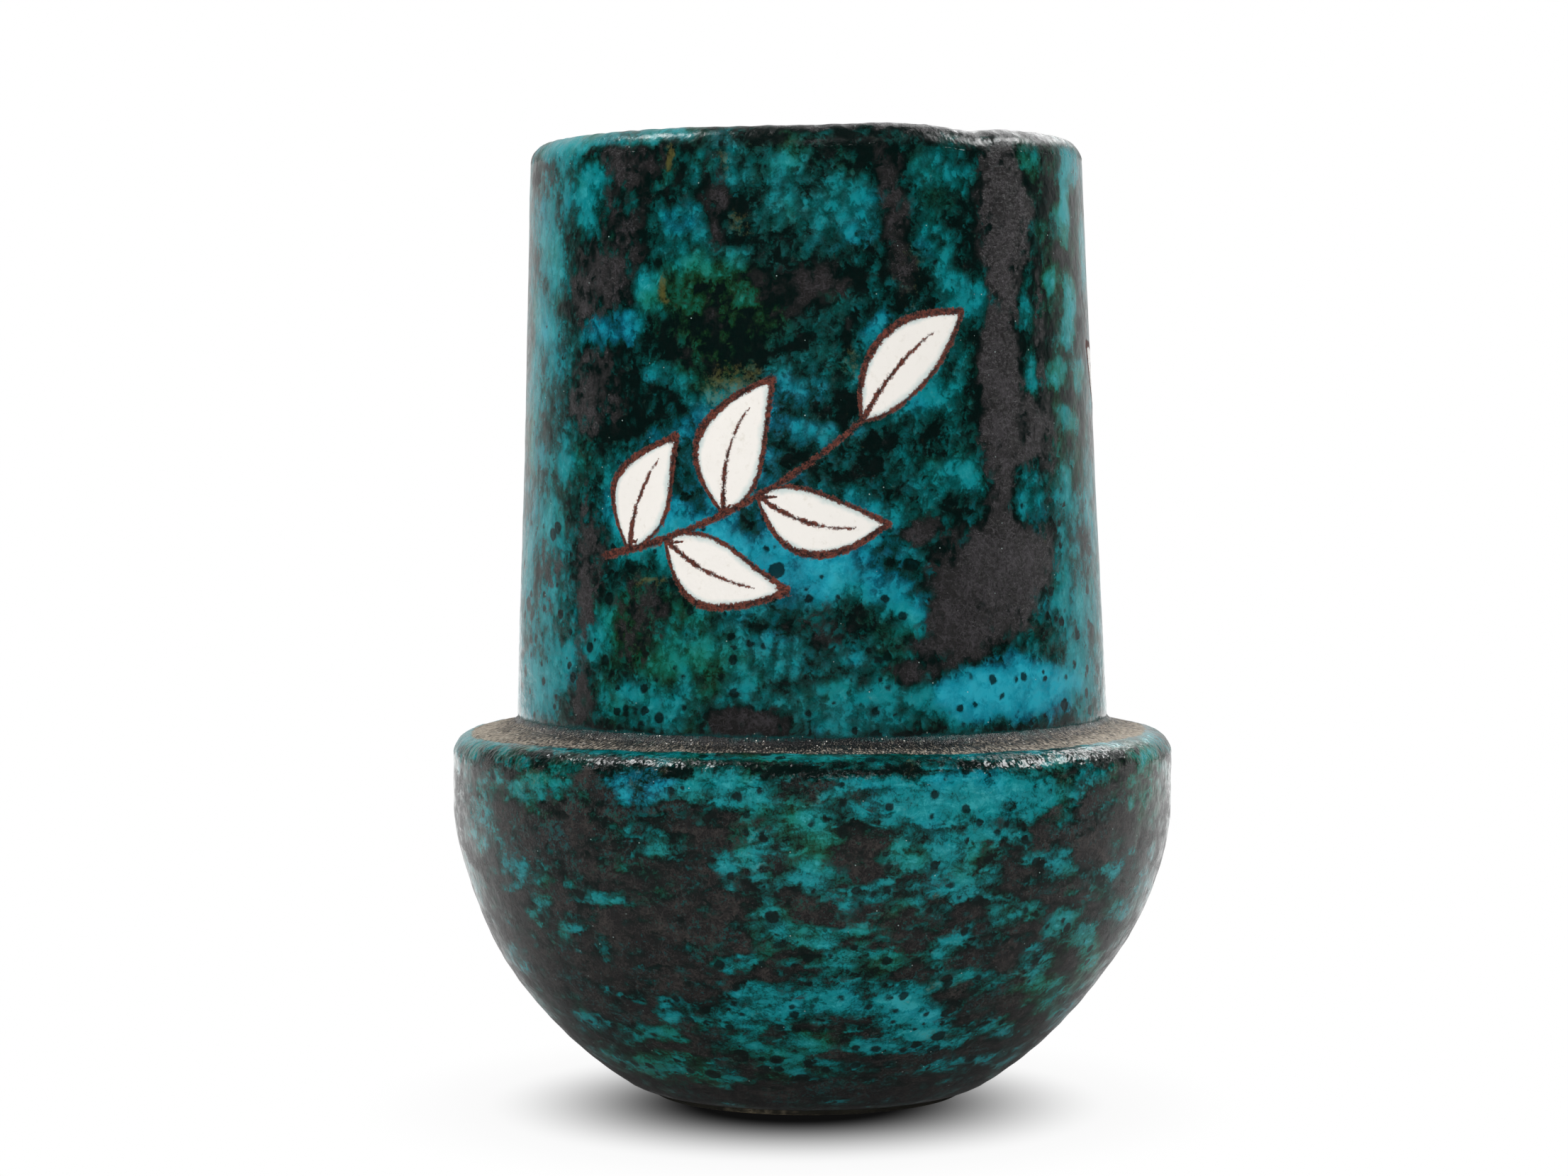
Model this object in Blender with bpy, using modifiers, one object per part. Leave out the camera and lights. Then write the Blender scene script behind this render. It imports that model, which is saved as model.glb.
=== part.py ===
"""Glazed ceramic vase: a thrown bowl with a turned-in shoulder carries a slightly conical neck.

The neck stands on a bed of slip in a gallery cut into the bowl's ledge. A fillet of gritty slip
closes the corner outside, a smoothed coil of clay closes it inside, and a low foot ring sits in a
recess under the bowl. Metres, +Z up, origin on the axis at the level the foot ring stands on.
"""

import math

import bpy

MM = 0.001

# Overall size
HEIGHT = 200.0 * MM  # from the foot to the lip
SEGMENTS = 60  # facets round the axis

# Bowl, outside
BELLY_RADIUS = 75.75 * MM
SHOULDER_HEIGHT = 77.0 * MM
SHOULDER_ROUND = 5.5 * MM
UPRIGHT_BAND = 9.4 * MM  # plain upright wall under the shoulder's rounding
BELLY_HANDLE = 20.6 * MM  # pull of the belly's curve at its upper end
FOOT_HANDLE = 26.8 * MM  # and at its lower end
FOOT_SLOPE = math.radians(29.0)  # how steeply the belly's curve reaches the foot
FOOT_RADIUS = 34.6 * MM
FOOT_LIFT = 1.0 * MM  # the bowl's lower edge above the table
LEDGE_WIDTH = 13.75 * MM  # from the neck's foot out to the belly
LEDGE_SLOPE = math.radians(15.0)

# Bowl, inside and underneath
BOWL_WALL = 8.0 * MM
FLOOR_THICKNESS = 7.0 * MM
FLOOR_ROUND = 6.0 * MM
LEDGE_THICKNESS = 6.5 * MM
SHOULDER_INNER_ROUND = 5.0 * MM
FOOT_RECESS = 2.5 * MM
SKIRT_WIDTH = 1.2 * MM  # edge of the bowl left round the foot ring

# Joint between bowl and neck
JOINT_GAP = 0.3 * MM
GALLERY_DEPTH = 4.5 * MM
GALLERY_LIP = 4.0 * MM  # gallery floor that stays inside the neck and carries the coil
SLIP_THICKNESS = 1.0 * MM
FILLET_HEIGHT = 2.2 * MM
FILLET_WIDTH = 3.2 * MM
FILLET_HOLLOW = 0.3  # how near the fillet's hollow face comes to its corner
COIL_HEIGHT = 5.5 * MM

# Neck
NECK_TAPER = 4.3 * MM  # radius lost between the neck's foot and its lip
NECK_WALL = 7.0 * MM
LIP_ROUND = 4.6 * MM
LIP_INNER_ROUND = 2.2 * MM
NECK_LEAN = 0.9 * MM  # the lip's centre stands this far towards -X of the foot's
RIM_TILT = 0.45 * MM  # the lip is higher by this at +X and lower at -X
RIM_FADE = 45.0 * MM  # the lip's unevenness dies out this far down the wall
# Uneven places in the thrown lip: angle from the front towards +X, rise, half-width of the angle
RIM_SWELLS = (
    (math.radians(18.0), 0.45 * MM, math.radians(10.0)),
    (math.radians(37.0), -0.75 * MM, math.radians(6.0)),
    (math.radians(150.0), 0.30 * MM, math.radians(18.0)),
    (math.radians(-125.0), -0.35 * MM, math.radians(14.0)),
)

# Foot ring
FOOT_RING_WIDTH = 5.0 * MM
FOOT_RING_ROUND = 0.8 * MM

# Steps along the curves of the outlines
BELLY_STEPS = 14
ROUND_STEPS = 5
SMALL_STEPS = 3
WALL_STEPS = 5

SHARP_ANGLE = math.radians(40.0)
MERGE_DISTANCE = 0.00001

# Places that more than one piece is built from
SHOULDER_CENTRE_RADIUS = BELLY_RADIUS - SHOULDER_ROUND
SHOULDER_CENTRE_HEIGHT = SHOULDER_HEIGHT - SHOULDER_ROUND
BELLY_TOP = SHOULDER_CENTRE_HEIGHT - UPRIGHT_BAND
LEDGE_EDGE_RADIUS = SHOULDER_CENTRE_RADIUS + SHOULDER_ROUND * math.sin(LEDGE_SLOPE)
LEDGE_EDGE_HEIGHT = SHOULDER_CENTRE_HEIGHT + SHOULDER_ROUND * math.cos(LEDGE_SLOPE)
NECK_FOOT_RADIUS = BELLY_RADIUS - LEDGE_WIDTH
NECK_TOP_RADIUS = NECK_FOOT_RADIUS - NECK_TAPER
GALLERY_RADIUS = NECK_FOOT_RADIUS + JOINT_GAP
GALLERY_TOP = LEDGE_EDGE_HEIGHT + (LEDGE_EDGE_RADIUS - GALLERY_RADIUS) * math.tan(LEDGE_SLOPE)
GALLERY_FLOOR = GALLERY_TOP - GALLERY_DEPTH
OPENING_RADIUS = NECK_FOOT_RADIUS - NECK_WALL - GALLERY_LIP
SLIP_BOTTOM = GALLERY_FLOOR + JOINT_GAP
SLIP_TOP = SLIP_BOTTOM + SLIP_THICKNESS
NECK_BOTTOM = SLIP_TOP + JOINT_GAP
RECESS_RADIUS = FOOT_RADIUS - SKIRT_WIDTH
RECESS_TOP = FOOT_LIFT + FOOT_RECESS
FLOOR_HEIGHT = RECESS_TOP + FLOOR_THICKNESS


def arc(centre, radius, start, end, steps):
    """Points of an arc in the (radius, height) plane; angles in degrees from the radial direction."""
    points = []
    for step in range(steps + 1):
        angle = math.radians(start + (end - start) * step / steps)
        points.append((centre[0] + radius * math.cos(angle), centre[1] + radius * math.sin(angle)))
    return points


def straight(start, end, steps):
    """Points of a straight run, without its two ends."""
    shares = [step / steps for step in range(1, steps)]
    return [tuple(a + (b - a) * share for a, b in zip(start, end)) for share in shares]


def curve(start, pull, end, steps):
    """Points of a curve that leaves its start, and reaches its end, along lines through the pull."""
    points = []
    for step in range(steps + 1):
        share = step / steps
        weights = ((1 - share) ** 2, 2 * share * (1 - share), share**2)
        points.append(tuple(sum(w * p[i] for w, p in zip(weights, (start, pull, end))) for i in (0, 1)))
    return points


def belly_point(share):
    """Point and outward normal of the belly's outer curve, from its top (0) to the foot (1)."""
    reach = (FOOT_HANDLE * math.cos(FOOT_SLOPE), FOOT_HANDLE * math.sin(FOOT_SLOPE))
    corners = (
        (BELLY_RADIUS, BELLY_TOP),
        (BELLY_RADIUS, BELLY_TOP - BELLY_HANDLE),
        (FOOT_RADIUS + reach[0], FOOT_LIFT + reach[1]),
        (FOOT_RADIUS, FOOT_LIFT),
    )
    rest = 1.0 - share
    weights = (rest**3, 3 * rest**2 * share, 3 * rest * share**2, share**3)
    pulls = (rest**2, 2 * rest * share, share**2)
    point = [sum(w * corner[i] for w, corner in zip(weights, corners)) for i in (0, 1)]
    along = [
        sum(w * (after[i] - before[i]) for w, before, after in zip(pulls, corners, corners[1:]))
        for i in (0, 1)
    ]
    length = math.hypot(*along)
    return tuple(point), (-along[1] / length, along[0] / length)


def belly_outside():
    """The belly's outer curve, top to bottom."""
    return [belly_point(step / BELLY_STEPS)[0] for step in range(BELLY_STEPS + 1)]


def belly_inside():
    """The belly's inner curve, one wall inside the outer one, from the floor up."""
    points = []
    for step in range(BELLY_STEPS + 1):
        (radius, height), normal = belly_point(step / BELLY_STEPS)
        points.append((radius - BOWL_WALL * normal[0], height - BOWL_WALL * normal[1]))
    above = [point for point in points if point[1] > FLOOR_HEIGHT + FLOOR_ROUND]
    (before_radius, before_height), (end_radius, end_height) = above[-2:]
    drop = end_height - FLOOR_HEIGHT
    run = drop * (before_radius - end_radius) / (before_height - end_height)
    corner = (end_radius - run, FLOOR_HEIGHT)
    floor_edge = (corner[0] - math.hypot(drop, run), FLOOR_HEIGHT)
    hollow = curve(floor_edge, corner, above[-1], ROUND_STEPS)
    return hollow + above[-2::-1]


def neck_radius(height):
    """Outer radius of the neck's conical wall at a height."""
    return NECK_FOOT_RADIUS - NECK_TAPER * (height - NECK_BOTTOM) / (HEIGHT - NECK_BOTTOM)


def glaze(name, colour, roughness):
    """A plain Principled material."""
    material = bpy.data.materials.new(name)
    material.use_nodes = True
    shader = material.node_tree.nodes["Principled BSDF"]
    shader.inputs["Base Color"].default_value = (*colour, 1.0)
    shader.inputs["Roughness"].default_value = roughness
    shader.inputs["Metallic"].default_value = 0.0
    material.diffuse_color = (*colour, 1.0)
    return material


def turned(name, outline, closed, material, collection):
    """A turned piece: its outline, which runs down the outer side, swept once round the axis."""
    edges = [(i, i + 1) for i in range(len(outline) - 1)]
    if closed:
        edges.append((len(outline) - 1, 0))
    profile = bpy.data.meshes.new(name + "_outline")
    profile.from_pydata([(radius, 0.0, height) for radius, height in outline], edges, [])
    lathe = bpy.data.objects.new(name + "_lathe", profile)
    collection.objects.link(lathe)
    screw = lathe.modifiers.new("turn", "SCREW")
    screw.axis = "Z"
    screw.angle = math.tau
    screw.steps = SEGMENTS
    screw.render_steps = SEGMENTS
    screw.use_merge_vertices = True
    screw.merge_threshold = MERGE_DISTANCE
    mesh = bpy.data.meshes.new_from_object(lathe.evaluated_get(bpy.context.evaluated_depsgraph_get()))
    bpy.data.objects.remove(lathe)
    bpy.data.meshes.remove(profile)
    mesh.name = name
    mesh.shade_smooth()
    mesh.set_sharp_from_angle(angle=SHARP_ANGLE)
    mesh.materials.append(material)
    piece = bpy.data.objects.new(name, mesh)
    collection.objects.link(piece)
    return piece


def lip_rise(angle):
    """How far the thrown lip stands above or below its level at an angle from the front."""
    rise = RIM_TILT * math.sin(angle)
    for centre, height, spread in RIM_SWELLS:
        away = math.remainder(angle - centre, math.tau)
        rise += height * math.exp(-((away / spread) ** 2))
    return rise


def throw_by_hand(neck):
    """Leans the turned neck a little and makes its lip uneven, as a thrown one is."""
    for vertex in neck.data.vertices:
        x, y, z = vertex.co
        share = (z - NECK_BOTTOM) / (HEIGHT - NECK_BOTTOM)
        fade = max(0.0, 1.0 - (HEIGHT - z) / RIM_FADE)
        angle = math.atan2(x, -y)
        vertex.co.x = x - NECK_LEAN * share
        vertex.co.z = z + lip_rise(angle) * fade * fade * (3.0 - 2.0 * fade)
    neck.data.update()


def make_bowl(material, collection):
    """Bowl with its shoulder, ledge, gallery for the neck and recess for the foot ring."""
    underside = GALLERY_FLOOR - LEDGE_THICKNESS
    inner_radius = BELLY_RADIUS - BOWL_WALL
    inner_centre = (inner_radius - SHOULDER_INNER_ROUND, underside - SHOULDER_INNER_ROUND)
    shoulder_centre = (SHOULDER_CENTRE_RADIUS, SHOULDER_CENTRE_HEIGHT)
    ledge_angle = 90.0 - math.degrees(LEDGE_SLOPE)
    outline = [(0.0, FLOOR_HEIGHT)]
    outline += belly_inside()
    outline += arc(inner_centre, SHOULDER_INNER_ROUND, 0.0, 90.0, ROUND_STEPS)
    outline += [(OPENING_RADIUS, underside), (OPENING_RADIUS, GALLERY_FLOOR)]
    outline += [(GALLERY_RADIUS, GALLERY_FLOOR), (GALLERY_RADIUS, GALLERY_TOP)]
    outline += arc(shoulder_centre, SHOULDER_ROUND, ledge_angle, 0.0, ROUND_STEPS)
    outline += belly_outside()
    outline += [(RECESS_RADIUS, FOOT_LIFT), (RECESS_RADIUS, RECESS_TOP), (0.0, RECESS_TOP)]
    return turned("bowl", outline, False, material, collection)


def make_neck(material, collection):
    """Conical neck, open at both ends, with a thick rounded lip."""
    outer_round = min(LIP_ROUND, NECK_WALL - LIP_INNER_ROUND)
    lip_base = HEIGHT - outer_round
    inner_lip_base = HEIGHT - LIP_INNER_ROUND
    outer_top = (neck_radius(lip_base), lip_base)
    outer_foot = (NECK_FOOT_RADIUS, NECK_BOTTOM)
    inner_foot = (NECK_FOOT_RADIUS - NECK_WALL, NECK_BOTTOM)
    inner_top = (neck_radius(inner_lip_base) - NECK_WALL, inner_lip_base)
    outline = arc((outer_top[0] - outer_round, lip_base), outer_round, 90.0, 0.0, ROUND_STEPS)
    outline += straight(outer_top, outer_foot, WALL_STEPS)
    outline += [outer_foot, inner_foot]
    outline += straight(inner_foot, inner_top, WALL_STEPS)
    inner_centre = (inner_top[0] + LIP_INNER_ROUND, inner_lip_base)
    outline += arc(inner_centre, LIP_INNER_ROUND, 180.0, 90.0, SMALL_STEPS)
    neck = turned("neck", outline, True, material, collection)
    throw_by_hand(neck)
    return neck


def make_slip_bed(material, collection):
    """Bed of slip in the gallery, under the neck's foot."""
    inner = NECK_FOOT_RADIUS - NECK_WALL
    outer = GALLERY_RADIUS - JOINT_GAP
    outline = [(outer, SLIP_TOP), (outer, SLIP_BOTTOM), (inner, SLIP_BOTTOM), (inner, SLIP_TOP)]
    return turned("slip_bed", outline, True, material, collection)


def make_luting_fillet(material, collection):
    """Hollow-faced fillet of gritty slip in the outer corner between ledge and neck."""
    inner = neck_radius(GALLERY_TOP) + JOINT_GAP
    fall = math.tan(LEDGE_SLOPE)
    lift = JOINT_GAP / math.cos(LEDGE_SLOPE)

    def on_ledge(radius):
        return LEDGE_EDGE_HEIGHT + (LEDGE_EDGE_RADIUS - radius) * fall + lift

    corner = (inner, on_ledge(inner))
    top = (inner, corner[1] + FILLET_HEIGHT)
    edge = (inner + FILLET_WIDTH, on_ledge(inner + FILLET_WIDTH))
    pull = tuple(c + FILLET_HOLLOW * ((t + e) / 2 - c) for c, t, e in zip(corner, top, edge))
    outline = curve(top, pull, edge, ROUND_STEPS) + [corner]
    return turned("luting_fillet", outline, True, material, collection)


def make_inner_coil(material, collection):
    """Coil of clay smoothed into the inner corner, on the gallery's floor and against the neck."""
    outer = NECK_FOOT_RADIUS - NECK_WALL - JOINT_GAP
    taper = neck_radius(NECK_BOTTOM) - neck_radius(NECK_BOTTOM + COIL_HEIGHT)
    bottom = GALLERY_FLOOR + JOINT_GAP
    width = GALLERY_LIP - 2 * JOINT_GAP
    outline = [(outer - taper, bottom + COIL_HEIGHT), (outer - taper, bottom)]
    for step in range(ROUND_STEPS):
        angle = math.radians(90.0 * step / ROUND_STEPS)
        reach = (width - taper) * math.cos(angle)
        outline.append((outer - taper - reach, bottom + COIL_HEIGHT * math.sin(angle)))
    return turned("inner_coil", outline, True, material, collection)


def make_foot_ring(material, collection):
    """Low unglazed ring in the bowl's recess, with its lower edges eased."""
    outer = RECESS_RADIUS - JOINT_GAP
    inner = outer - FOOT_RING_WIDTH
    top = RECESS_TOP - JOINT_GAP
    outline = [(inner, top), (outer, top)]
    outline += arc((outer - FOOT_RING_ROUND, FOOT_RING_ROUND), FOOT_RING_ROUND, 0.0, -90.0, SMALL_STEPS)
    outline += arc((inner + FOOT_RING_ROUND, FOOT_RING_ROUND), FOOT_RING_ROUND, -90.0, -180.0, SMALL_STEPS)
    return turned("foot_ring", outline, True, material, collection)


def main():
    for old in list(bpy.data.objects):
        bpy.data.objects.remove(old)
    collection = bpy.data.collections.new("ceramic_vase")
    bpy.context.scene.collection.children.link(collection)
    bowl_glaze = glaze("bowl_turquoise_and_black_glaze", (0.015, 0.105, 0.110), 0.30)
    neck_glaze = glaze("neck_turquoise_and_black_glaze", (0.018, 0.130, 0.145), 0.30)
    gritty_slip = glaze("gritty_slip", (0.200, 0.165, 0.130), 0.85)
    joint_slip = glaze("joint_slip", (0.380, 0.300, 0.230), 0.90)
    coil_clay = glaze("coil_clay", (0.060, 0.055, 0.055), 0.55)
    foot_clay = glaze("foot_clay", (0.520, 0.460, 0.350), 0.80)
    make_bowl(bowl_glaze, collection)
    make_neck(neck_glaze, collection)
    make_slip_bed(joint_slip, collection)
    make_luting_fillet(gritty_slip, collection)
    make_inner_coil(coil_clay, collection)
    make_foot_ring(foot_clay, collection)


main()
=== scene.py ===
"""Dresses the ceramic vase in its finishes, on a plain white table.

Brushed turquoise and black glaze, white leaves with brown lines, a gritty joint and a bare clay foot.
"""

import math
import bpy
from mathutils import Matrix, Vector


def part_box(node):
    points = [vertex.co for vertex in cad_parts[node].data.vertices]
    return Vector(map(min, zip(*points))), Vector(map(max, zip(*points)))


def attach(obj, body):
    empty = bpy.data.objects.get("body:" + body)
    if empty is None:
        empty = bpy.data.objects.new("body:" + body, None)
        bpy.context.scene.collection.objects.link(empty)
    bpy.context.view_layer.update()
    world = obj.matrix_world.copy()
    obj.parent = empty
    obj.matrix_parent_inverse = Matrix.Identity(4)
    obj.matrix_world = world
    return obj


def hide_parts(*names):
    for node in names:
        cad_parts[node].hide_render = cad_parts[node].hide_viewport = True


bl_info = {
    "name": "Ceramic Vase",
    "version": (1, 0, 0),
    "blender": (4, 5, 0),
    "location": "View3D > Sidebar > Vase",
    "description": "Builds a glazed ceramic vase with brushed leaves, and a plain studio round it",
    "category": "Add Mesh",
}

from types import SimpleNamespace

import bpy
import numpy as np
from bpy.props import FloatProperty, FloatVectorProperty, IntProperty, PointerProperty
from mathutils import Vector, noise

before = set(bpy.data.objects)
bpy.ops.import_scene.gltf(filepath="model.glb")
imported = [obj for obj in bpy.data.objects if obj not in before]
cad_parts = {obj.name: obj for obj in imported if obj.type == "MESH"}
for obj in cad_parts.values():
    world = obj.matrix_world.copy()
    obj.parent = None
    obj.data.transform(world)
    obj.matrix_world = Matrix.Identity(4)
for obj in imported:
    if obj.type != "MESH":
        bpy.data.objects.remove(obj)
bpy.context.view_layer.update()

MM = 0.001
BODY = "root"

BOWL_LOW, BOWL_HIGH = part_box("bowl")
NECK_LOW, NECK_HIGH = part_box("neck")
COIL_LOW, COIL_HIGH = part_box("inner_coil")
FOOT_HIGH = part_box("foot_ring")[1]

# Gap between pieces that are fired together, and how far the dressed ledge lies below the solid's top
FIRED_GAP = 0.3 * MM
LEDGE_DROP = 0.7 * MM

# Brush strokes on the neck: angle from the front in degrees, height, half length and half width in mm,
# slant in degrees (rising to the right), and strength
NECK_TURQUOISE = (
    (-63, 176, 7, 6, 0, 1.4), (-54, 186, 6, 6, 0, 0.9), (-54, 196, 9, 3, 0, 0.8),
    (-31, 182, 5, 4, 0, 0.8), (-24, 177, 6, 6, 0, 1.0), (-17, 173, 6, 3, 0, 0.9),
    (-16, 192, 7, 5, 0, 0.7), (-6, 187, 5, 9, 0, 0.8), (7, 181, 8, 10, 0, 1.0), (27, 191, 7, 6, 0, 0.8),
    (25, 177, 5, 6, 0, 0.8), (31, 168, 6, 5, 0, 0.9), (38, 164, 6, 3, -20, 0.9),
    (-42, 160, 10, 3.5, 0, 0.8), (-33, 167, 5, 4, 0, 0.8), (-20, 147, 15, 4, -28, 1.0),
    (2, 138, 8, 4, -20, 0.8), (23, 147, 8, 6, 0, 0.7), (28, 131, 7, 3, 0, 0.8), (47, 127, 5, 7, 0, 1.0),
    (63.5, 159.5, 4.8, 3.5, 0, 1.4), (64, 142, 5.6, 2.8, 0, 1.5), (59, 128, 4, 6, 0, 1.2),
    (-60, 134, 18, 3.5, 0, 1.1), (-28, 120, 17, 6, -10, 1.0), (-5, 114, 15, 5, -18, 1.0),
    (10, 109, 11, 4, -22, 0.9), (21, 103, 7, 3.5, -30, 0.9), (-46, 99, 7, 6, 0, 0.6),
    (-22, 97, 8, 5, 0, 0.8), (-9, 95, 8, 5, 0, 0.7), (-32, 86, 13, 4, 0, 0.8), (9, 86, 13, 5, 0, 0.8),
    (40, 88, 22, 5.5, 0, 2.1), (62, 92, 9, 4, 20, 1.0), (-70, 86, 12, 7, 0, 1.3),
    (70, 193.5, 6, 4, 0, 2.2), (50, 195.5, 5, 2.5, 0, 0.9), (-62, 198, 14, 2.5, 0, 1.0),
    (-47, 187, 4.5, 9, -12, 1.2), (-41, 161, 8, 3.2, 0, 0.7), (-33, 170, 5, 4, 0, 1.1),
    (65, 187, 3, 5, 0, 1.8), (64.5, 182, 4.8, 5, 0, 1.8), (65.5, 167, 3.5, 5.5, 0, 2.0),
    (57, 170, 2.6, 3.3, 0, 1.8), (46, 163, 1.8, 5, -25, 1.3), (49, 151, 2.2, 5, 0, 1.4),
    (14, 161, 3, 3, 0, 0.7), (-68, 186, 6, 9, 0, 1.1), (-57, 150, 5, 6, 0, 0.7), (-72, 148, 6, 9, 0, 1.2),
    (-60, 120, 6, 6, 0, 1.3), (-56, 92, 7, 5, 0, 0.8), (77, 176, 4, 8, 0, 1.8),
    (69, 151, 4.5, 4.6, 0, 1.8), (59, 151, 4, 3.5, 0, 1.6), (74, 128, 5, 10, 0, 0.8),
    (56, 110, 4, 7, 0, 0.7), (66, 104, 5, 6, 0, 0.8), (-75, 112, 6, 9, 0, 1.1), (-12, 166, 3, 3, 0, 0.7),
    (6, 166, 2.5, 3, 0, 0.7), (-66, 162, 8, 6, 0, 1.3), (48, 103, 3.5, 4, 30, 0.7),
    (-42, 199, 24, 2.2, 0, 1.9), (-58, 170, 5, 4, 0, 0.9), (-48, 190, 4, 4, 0, 0.8),
    (-43, 176, 3.5, 3, 0, 0.9), (-37, 187, 3, 3, 0, 0.8), (-60, 104, 6, 6, 0, 0.9),
    (86, 176, 9, 8, 0, 0.8), (104, 190, 12, 5, 0, 0.7), (118, 170, 8, 9, 0, 0.8),
    (96, 112, 16, 4, 12, 0.9), (124, 94, 18, 5, 0, 1.0), (142, 184, 9, 8, 0, 0.8),
    (150, 120, 12, 6, -14, 0.8), (168, 172, 8, 10, 0, 0.7), (172, 96, 16, 6, 0, 0.9),
    (-172, 140, 9, 7, 0, 0.7), (-160, 186, 10, 6, 0, 0.8), (-150, 110, 15, 5, 16, 1.0),
    (-136, 174, 7, 9, 0, 0.8), (-128, 92, 18, 5, 0, 0.9), (-112, 186, 9, 6, 0, 0.7),
    (-104, 108, 14, 5, -12, 0.9), (-94, 170, 8, 8, 0, 0.7), (-84, 190, 8, 5, 0, 0.6),
    (110, 140, 12, 5, 20, 0.8), (-118, 140, 12, 5, -20, 0.8),
)
NECK_BLACK = (
    (43, 183, 8, 14, 0, 1.3), (39, 142, 5, 22, 0, 1.25), (36, 109, 15, 12, 0, 1.4),
    (27, 99, 8, 7, -35, 1.1), (20, 120, 6, 3, 0, 1.1), (45, 115, 12, 7, 0, 1.2),
    (-40, 181, 7, 16, 0, 0.65), (-47, 168, 9, 9, 0, 0.85), (-37, 194, 9, 5, 0, 0.8),
    (-47, 147, 10, 8, 0, 0.85), (-18, 185, 3.5, 9, 0, 0.7), (41, 160, 5, 14, 0, 1.1),
    (17, 183, 3, 15, 8, 0.9), (-6, 167, 9, 5, 0, 0.6), (3, 169, 6, 5, 0, 0.8), (22, 157, 8, 7, 0, 0.6),
    (45, 140, 6, 11, 0, 0.8), (52, 160, 2.5, 12, 0, 0.7), (74, 160, 5, 3.5, 0, 0.7),
    (62, 175, 5, 2, 0, 0.7), (68, 120, 4, 14, 0, 0.5), (53, 140, 4, 10, 0, 0.7),
    (-47, 114, 5, 13, 0, 0.8), (-48, 99, 3, 11, 0, 0.7), (-48, 86, 4, 7, 0, 0.8),
    (-34, 103, 6, 10, 0, 0.6), (-24, 105, 8, 6, 0, 0.6), (-12, 82.2, 8.5, 4, 0, 1.5),
    (19, 92.5, 5, 2.5, 0, 0.9), (-22, 159, 7, 11, 0, 0.25), (3, 102, 7, 5, 0, 0.5),
    (-62, 110, 7, 11, 0, 0.7), (-70, 192, 10, 4, 0, 0.7), (30, 200, 40, 1.6, 0, 0.8),
    (92, 150, 6, 20, 0, 1.0), (112, 120, 9, 9, 0, 0.9), (132, 160, 7, 22, 0, 1.0),
    (158, 150, 10, 12, 0, 0.9), (146, 100, 10, 8, 0, 0.9), (180, 190, 12, 7, 0, 0.8),
    (-168, 116, 8, 12, 0, 0.9), (-148, 156, 7, 24, 0, 1.0), (-122, 162, 10, 9, 0, 0.9),
    (-136, 112, 8, 8, 0, 0.8), (-104, 150, 6, 18, 0, 0.8), (-90, 124, 10, 8, 0, 0.8),
)
# Bluer and, with a minus sign, greener places on the neck
NECK_BLUE = (
    (-15, 140, 30, 18, -20, 0.6), (-5, 116, 34, 8, -16, 0.7), (42, 88, 24, 7, 0, 1.0),
    (7, 182, 10, 9, 0, 0.4), (-40, 160, 12, 5, 0, 0.6), (-20, 160, 16, 16, 0, -1.1),
    (-30, 100, 18, 9, 0, -0.45), (62, 160, 14, 34, 0, -0.4), (27, 190, 9, 9, 0, -0.4),
    (-10, 90, 26, 6, 0, -0.3), (112, 108, 22, 12, 0, 0.7), (150, 180, 20, 12, 0, -0.5),
    (-150, 110, 24, 12, 0, 0.7), (-120, 180, 20, 14, 0, -0.4), (172, 96, 22, 8, 0, 0.6),
)
# Olive flecks where the glaze broke
NECK_OLIVE = (
    (-27.5, 194, 0.9, 2.8, 0, 1.3), (-16, 192, 1.5, 3, 0, 0.6), (-28.5, 168, 0.9, 3.0, 8, 1.3),
    (-13, 180, 3, 3, 0, 0.6), (-14, 148, 7, 5, 0, 0.75), (8, 153, 2, 3, 0, 0.5), (122, 150, 4, 5, 0, 0.8),
    (-140, 186, 3, 4, 0, 0.8), (170, 128, 5, 3, 0, 0.7), (-100, 176, 2, 4, 0, 0.8),
    (-34, 103, 6, 10, 0, 0.28), (50, 117, 3.5, 0.7, 0, 1.0), (48, 111, 3, 0.7, 0, 1.0),
    (-31, 110, 5, 0.8, 8, 0.9), (20, 170, 3, 8, 0, 0.3),
)
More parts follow.
